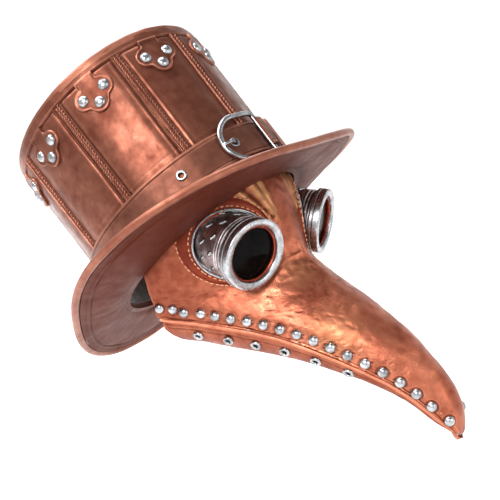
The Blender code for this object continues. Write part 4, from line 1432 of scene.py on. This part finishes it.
class MASK_OT_jaw(bpy.types.Operator):
    """Build the jaw's leather and its eyelets"""

    bl_idname = "mask.jaw"
    bl_label = "Jaw"

    def execute(self, context):
        us = spread(4.15, 5.0, 18)[:-1] + spread(5.0, LAST_STATION, 220)
        rows = []
        for u in us:
            first = math.degrees(math.asin(min(0.9, SEAM_GAP / station(u)[3])))
            last = max(neck_cut(u), first + 3.0)
            angles = spread(first, last, JAW_COLUMNS)
            far_side = list(reversed(angles[:-1] if last >= 90.0 else angles))
            row = []
            for side, order in ((1, angles), (-1, far_side)):
                for t in order:
                    point = jaw_point(u, t, side)
                    if t > 89.9:
                        point.x = 0.0
                        normal = -UP
                    else:
                        normal = jaw_normal(u, t, side)
                    lump = 0.0005 * unevenness(point, 0.025, 6.0)
                    lump += 0.0002 * unevenness(point, 0.006, 6.5)
                    lump += 0.0005 * ridge(t - first - 7.0, 3.0)
                    lump -= 0.0004 * ridge(t - first - 11.0, 3.0)
                    row.append(point + normal * lump)
            rows.append(row)
        jaw = tidy(mesh_piece("jaw_leather", *self.two_sided(rows), mask_leather()))
        if sum(p.normal.z for p in jaw.data.polygons) > 0.0:
            jaw.data.flip_normals()
        thicken(jaw, JAW_SHELL)
        seats = {}
        for side, label in SIDES:
            for number, u in enumerate(JAW_EYELETS):
                point = jaw_point(u, JAW_EYELET_TURN, side)
                normal = jaw_normal(u, JAW_EYELET_TURN, side)
                seats[(label, number)] = frame_at(point + normal * 0.0002, normal, UP)
                punch(jaw, seats[(label, number)], 0.0020, 0.012, mask_leather(), 20)
        # Painted shade: the whole jaw made darker.
        mark(jaw, "painted_shade", lambda point: 0.45)
        carry(jaw, nodes=["jaw_panel"])
        for (label, number), seat in seats.items():
            ring = eyelet(f"jaw_ring_{label}_{number + 1}", seat, 0.0045, 0.0019, 0.0016)
            carry(ring, nodes=[f"jaw_eyelet_{label}_{number + 1}"])
        return {"FINISHED"}

    def two_sided(self, rows):
        """Joins both flanks under the beak, and leaves them apart beside the neck."""
        points = []
        faces = []
        starts = []
        for row in rows:
            starts.append((len(points), len(row)))
            points += row
        for (a, size_a), (b, size_b) in zip(starts, starts[1:]):
            for k in range(JAW_COLUMNS):
                faces.append((a + k, a + k + 1, b + k + 1, b + k))
            for k in range(JAW_COLUMNS):
                i = size_a - 1 - k
                j = size_b - 1 - k
                faces.append((a + i, b + j, b + j - 1, a + i - 1))
        return points, faces


class MASK_OT_patches(bpy.types.Operator):
    """Build the stitched leather patches round the goggles"""

    bl_idname = "mask.patches"
    bl_label = "Eye patches"

    def execute(self, context):
        for side, label in SIDES:
            shell = self.shell_tree(side)
            at = goggle_frame(side)
            rays = 144
            rows = []
            outer_line = []
            inner_line = []
            for i in range(rays):
                angle = 2.0 * math.pi * i / rays
                reach = self.reach(angle, side)
                row = []
                for share, lift in PATCH_SECTION:
                    radius = BARREL_HOLE_R + 0.0002 + (reach - BARREL_HOLE_R) * share
                    point, normal = self.on_shell(shell, at, angle, radius)
                    row.append(point + normal * (lift + 0.0003 * unevenness(point, 0.007, 4.0)))
                rows.append(row)
                for line, share in ((outer_line, OUTER_STITCHES), (inner_line, INNER_STITCHES)):
                    radius = BARREL_HOLE_R + 0.0014 + (reach - BARREL_HOLE_R) * share
                    line.append(self.on_shell(shell, at, angle, radius))
            patch = rows_piece(f"eye_patch_leather_{label}", rows, patch_leather(), around=True)
            carry(patch, nodes=[f"eye_patch_{label}"])
            self.stitches(label, (outer_line, inner_line))
            self.base_rim(label, shell, at)
        return {"FINISHED"}

    def reach(self, angle, side):
        """The patch's outer radius, wider towards the temple and narrow at the nose."""
        temple = 0.5 + 0.5 * math.cos(angle - (0.0 if side > 0 else math.pi))
        above = max(0.0, math.sin(angle))
        return 0.0312 + 0.0052 * temple ** 2 + 0.0044 * above ** 2

    def shell_tree(self, side):
        """The plain surface of one side of the face, for the patch to lie on."""
        points = []
        faces = []
        us = spread(0.0, 9.0, 110)
        ds = [math.sin(0.5 * math.pi * k / 60) for k in range(61)]
        for u in us:
            for d in ds:
                points.append(shell_point(u, d ** (2.0 / fullness(u)), side))
        width = len(ds)
        for i in range(len(us) - 1):
            for k in range(width - 1):
                faces.append((i * width + k, i * width + k + 1,
                              (i + 1) * width + k + 1, (i + 1) * width + k))
        return BVHTree.FromPolygons(points, faces)

    def on_shell(self, shell, at, angle, radius):
        start = at @ Vector((radius * math.cos(angle), radius * math.sin(angle), 0.03))
        ahead = -(at.to_3x3() @ Vector((0.0, 0.0, 1.0)))
        point, normal, _, _ = shell.ray_cast(start, ahead)
        if point is None:
            point, normal, _, _ = shell.find_nearest(start + ahead * 0.05)
        if normal.dot(ahead) > 0.0:
            normal = -normal
        return point, normal

    def stitches(self, label, lines):
        """Evenly spaced stitches along each line of points and normals."""
        body = bmesh.new()
        for line in lines:
            walked = 0.0
            for (here, normal), (ahead, _) in zip(line, line[1:] + line[:1]):
                step = ahead - here
                walked += step.length
                if walked < STITCH_PITCH:
                    continue
                walked -= STITCH_PITCH
                seat = frame_at(here + normal * 0.0017, normal, normal.cross(step))
                rounded_bar(body, seat, STITCH_LENGTH, STITCH_R, 8)
        thread = bmesh_piece(f"patch_stitching_{label}", body, thread_fibre("waxed thread"))
        carry(thread)

    def base_rim(self, label, shell, at):
        """A thin silver ring where the barrel comes out of its patch."""
        points = []
        ups = []
        for i in range(120):
            angle = 2.0 * math.pi * i / 120
            point, normal = self.on_shell(shell, at, angle, BARREL_R + 0.0010)
            points.append(point + normal * 0.0012)
            ups.append(normal)
        rim = sweep(f"barrel_base_rim_{label}", points, oval(0.0010, 0.0013, 10), bright_silver(),
                    cyclic=True, normals=ups)
        carry(rim)


class MASK_OT_goggles(bpy.types.Operator):
    """Build the goggle barrels, bezels, copper rings and lenses"""

    bl_idname = "mask.goggles"
    bl_label = "Goggles"

    def execute(self, context):
        for side, label in SIDES:
            at = goggle_frame(side)
            self.barrel(side, label, at)
            bezel = rows_piece(f"bezel_ring_{label}", turned_rows(self.bezel_profile(), at, 144),
                               bezel_metal(), around=True, closed=True)
            carry(bezel, f"bezel_{label}", [f"goggle_bezel_{label}"])
            self.set_screws(label, at)

            ring = [(LENS_SEAT_R, -0.0031), (LENS_SEAT_R, -0.0052), (0.0206, -0.0052)]
            ring += arc((0.0213, -0.0036), 0.0007, 180.0, 60.0, 5) + [(0.0222, -0.0031)]
            copper = rows_piece(f"copper_ring_{label}", turned_rows(ring, at, 120),
                                copper_metal(), around=True, closed=True)
            carry(copper, nodes=[f"retaining_ring_{label}"])

            glass = [(0.0, -0.0044)]
            glass += [(r, -0.0044 - 0.0011 * (r / LENS_R) ** 2)
                      for r in spread(0.0017, LENS_R, 11)]
            glass += [(LENS_SEAT_R, -0.0056), (LENS_SEAT_R, -LENS_BACK), (0.012, -LENS_BACK),
                      (0.0, -LENS_BACK)]
            lens = rows_piece(f"lens_glass_{label}", turned_rows(glass, at, 96),
                              smoked_glass("smoked glass"), around=True)
            carry(lens, nodes=[f"lens_{label}"])
        return {"FINISHED"}

    def bezel_profile(self):
        profile = arc((BEZEL_R - 0.0016, -0.0016), 0.0016, 90.0, 0.0, 6)
        profile += [(BEZEL_R, -0.0052), (BEZEL_R - 0.0005, -0.0056), (BEZEL_R - 0.0005, -0.0062),
                    (BEZEL_R, -0.0066), (BEZEL_R, -BEZEL_DEPTH + 0.0012)]
        profile += arc((BEZEL_R - 0.0010, -BEZEL_DEPTH + 0.0010), 0.0010, 0.0, -90.0, 4)
        profile += [(NECK_R + GAP, -BEZEL_DEPTH), (NECK_R + GAP, -0.0030), (BEZEL_LIP_R, -0.0030),
                    (BEZEL_LIP_R, -0.0016), (BEZEL_LIP_R + 0.0006, -0.0007),
                    (BEZEL_LIP_R + 0.0016, -0.0001)]
        return profile

    def set_screws(self, label, at):
        """Small screws in the bezel's face."""
        body = bmesh.new()
        for degrees in (225.0, 345.0, 105.0):
            a = math.radians(degrees)
            spot = Vector((0.0257 * math.cos(a), 0.0257 * math.sin(a), -0.0002))
            dome_rivet(body, at @ Matrix.Translation(spot), 0.00095, 0.0006)
        screws = bmesh_piece(f"bezel_screws_{label}", body, bright_silver())
        carry(screws, f"bezel_{label}")

    def barrel(self, side, label, at):
        """A tube with three ribs, cut off at a slant behind and pierced by vents."""
        s = bpy.context.scene.mask_goggles
        neck_end = -BEZEL_DEPTH - GAP
        profile = [(NECK_R, -0.0034), (NECK_R, neck_end)]
        for rib in range(3):
            top = neck_end - 0.0030 * rib
            profile += arc((BARREL_R - 0.0009, top - 0.0009), 0.0008, 80.0, -80.0, 6)
            profile += [(NECK_R - 0.0001, top - 0.0021), (NECK_R - 0.0001, top - 0.0029)]
        profile += zip(spread(NECK_R + 0.0003, BARREL_R, 36),
                       spread(neck_end - 0.0095, -BARREL_ROOT, 36))
        profile += [(0.0236, -BARREL_ROOT), (BARREL_BORE_R, -0.030), (BARREL_BORE_R, -0.0078),
                    (0.0235, -0.0078), (0.0235, -0.0034)]

        def dents(a, r, z):
            if r < 0.0245:
                return 0.0
            spot = Vector((0.03 * math.cos(a), 0.03 * math.sin(a), z))
            return 0.00022 * unevenness(spot, 0.006, 3.0)

        barrel = rows_piece(f"barrel_metal_{label}", turned_rows(profile, at, 144, dents),
                            barrel_metal(), around=True, closed=True)
        slant = Matrix.Rotation(side * math.radians(33.0), 4, "Y")
        body = bmesh.new()
        bmesh.ops.create_cube(body, size=1.0)
        bmesh.ops.scale(body, vec=(0.16, 0.12, 0.08), verts=body.verts)
        bmesh.ops.transform(body, verts=body.verts, matrix=at @ Matrix.Translation((0, 0, -0.0285))
                            @ slant @ Matrix.Translation((0, 0, -0.04)))
        cut(barrel, bmesh_piece("root_cut", body, barrel_metal()))

        louvres = bmesh.new()
        sockets = bmesh.new()
        for row, height in enumerate(VENT_ROWS):
            for number in range(s.slots):
                a = 2.0 * math.pi * (number + 0.5 * row) / s.slots
                outward = Vector((math.cos(a), math.sin(a), 0.0))
                spot = outward * BARREL_R
                spot.z = height
                lean = Matrix.Rotation(math.radians(-42.0), 4, "Z")
                seat = at @ frame_at(spot, outward, UP) @ lean
                rounded_bar(sockets, seat, s.slot_length, 0.0017, 12)
                rounded_bar(louvres, seat @ Matrix.Translation((0.0, 0.0004, -0.0006)),
                            s.slot_length - 0.0012, 0.0012, 10)
        cut(barrel, bmesh_piece("sockets", sockets, barrel_metal()))
        carry(barrel, nodes=[f"goggle_barrel_{label}"])
        blades = bmesh_piece(f"barrel_louvres_{label}", louvres, bright_silver())
        carry(blades)


class MASK_OT_stage(bpy.types.Operator):
    """Set up the pale studio, its soft lights and the camera"""

    bl_idname = "mask.stage"
    bl_label = "Studio"

    def execute(self, context):
        s = context.scene.mask_stage
        n = Nodes("studio floor")
        soft = n.noise(3.0, 2.0)
        floor = tuple(s.floor)
        n.finish(n.mix(n.ramp(soft, 0.3, 0.7), floor, shaded(floor, 0.985)),
                 n.ramp(soft, 0.3, 0.7, 0.9, 0.8), n.bump(soft, 0.02, 0.001))
        drop = FRAME_LOW.z - 0.16
        profile = [(r, drop) for r in spread(0.0, 1.9, 8)]
        bend = 0.9
        for degrees in spread(0.0, 90.0, 12)[1:]:
            a = math.radians(degrees)
            profile.append((1.9 + bend * math.sin(a), drop + bend - bend * math.cos(a)))
        profile.append((1.9 + bend, 2.6))
        dish = rows_piece("studio_floor", turned_rows(profile, Matrix.Identity(4), 96),
                          n.material, around=True)

        for name, (at, aim, size, share) in SOFTBOXES.items():
            self.softbox(name, at, aim, size, share * s.key_power)

        world = bpy.data.worlds.new("studio air")
        context.scene.world = world
        world.use_nodes = True
        air = world.node_tree.nodes["Background"]
        air.inputs["Color"].default_value = (1.0, 1.0, 1.0, 1.0)
        air.inputs["Strength"].default_value = 0.34
        context.scene.view_settings.view_transform = "Standard"

        data = bpy.data.cameras.new("camera")
        data.lens = CAMERA_LENS
        data.sensor_width = 36.0
        camera = bpy.data.objects.new("camera", data)
        context.scene.collection.objects.link(camera)
        view = Matrix((CAMERA_RIGHT, CAMERA_UP, CAMERA_RIGHT.cross(CAMERA_UP))).transposed()
        camera.matrix_world = Matrix.Translation(CAMERA_AT) @ view.to_4x4()
        context.scene.camera = camera
        return {"FINISHED"}

    def softbox(self, name, at, aim, size, power):
        data = bpy.data.lights.new(name, "AREA")
        data.shape = "SQUARE"
        data.size = size
        data.energy = power
        lamp = bpy.data.objects.new(name, data)
        bpy.context.scene.collection.objects.link(lamp)
        lamp.location = at
        lamp.rotation_euler = (Vector(aim) - Vector(at)).to_track_quat("-Z", "Y").to_euler()


class MASK_PT_panel(bpy.types.Panel):
    """Buttons for every piece, with the settings that shape them"""

    bl_label = "Plague doctor mask"
    bl_idname = "MASK_PT_panel"
    bl_space_type = "VIEW_3D"
    bl_region_type = "UI"
    bl_category = "Mask"

    def draw(self, context):
        layout = self.layout
        for operator in OPERATORS:
            layout.operator(operator.bl_idname)
        for name, group in SETTINGS.items():
            box = layout.box()
            for field in group.__annotations__:
                box.prop(getattr(context.scene, name), field)


SETTINGS = {
    "mask_hat": HatSettings,
    "mask_face": MaskSettings,
    "mask_goggles": GoggleSettings,
    "mask_stage": StageSettings,
}
OPERATORS = (MASK_OT_stage, MASK_OT_crown, MASK_OT_seams, MASK_OT_tabs, MASK_OT_brim, MASK_OT_band,
             MASK_OT_buckle, MASK_OT_face, MASK_OT_rivets, MASK_OT_jaw, MASK_OT_patches,
             MASK_OT_goggles)


def register():
    for group in (*SETTINGS.values(), *OPERATORS, MASK_PT_panel):
        bpy.utils.register_class(group)
    for name, group in SETTINGS.items():
        setattr(bpy.types.Scene, name, bpy.props.PointerProperty(type=group))


def unregister():
    for name in SETTINGS:
        delattr(bpy.types.Scene, name)
    for group in reversed((*SETTINGS.values(), *OPERATORS, MASK_PT_panel)):
        bpy.utils.unregister_class(group)


def main():
    """Builds the studio and every piece."""
    register()
    bpy.ops.mask.stage()
    bpy.ops.mask.crown()
    bpy.ops.mask.seams()
    bpy.ops.mask.tabs()
    bpy.ops.mask.brim()
    bpy.ops.mask.band()
    bpy.ops.mask.buckle()
    bpy.ops.mask.face()
    bpy.ops.mask.rivets()
    bpy.ops.mask.jaw()
    bpy.ops.mask.patches()
    bpy.ops.mask.goggles()


if __name__ == "__main__":
    main()
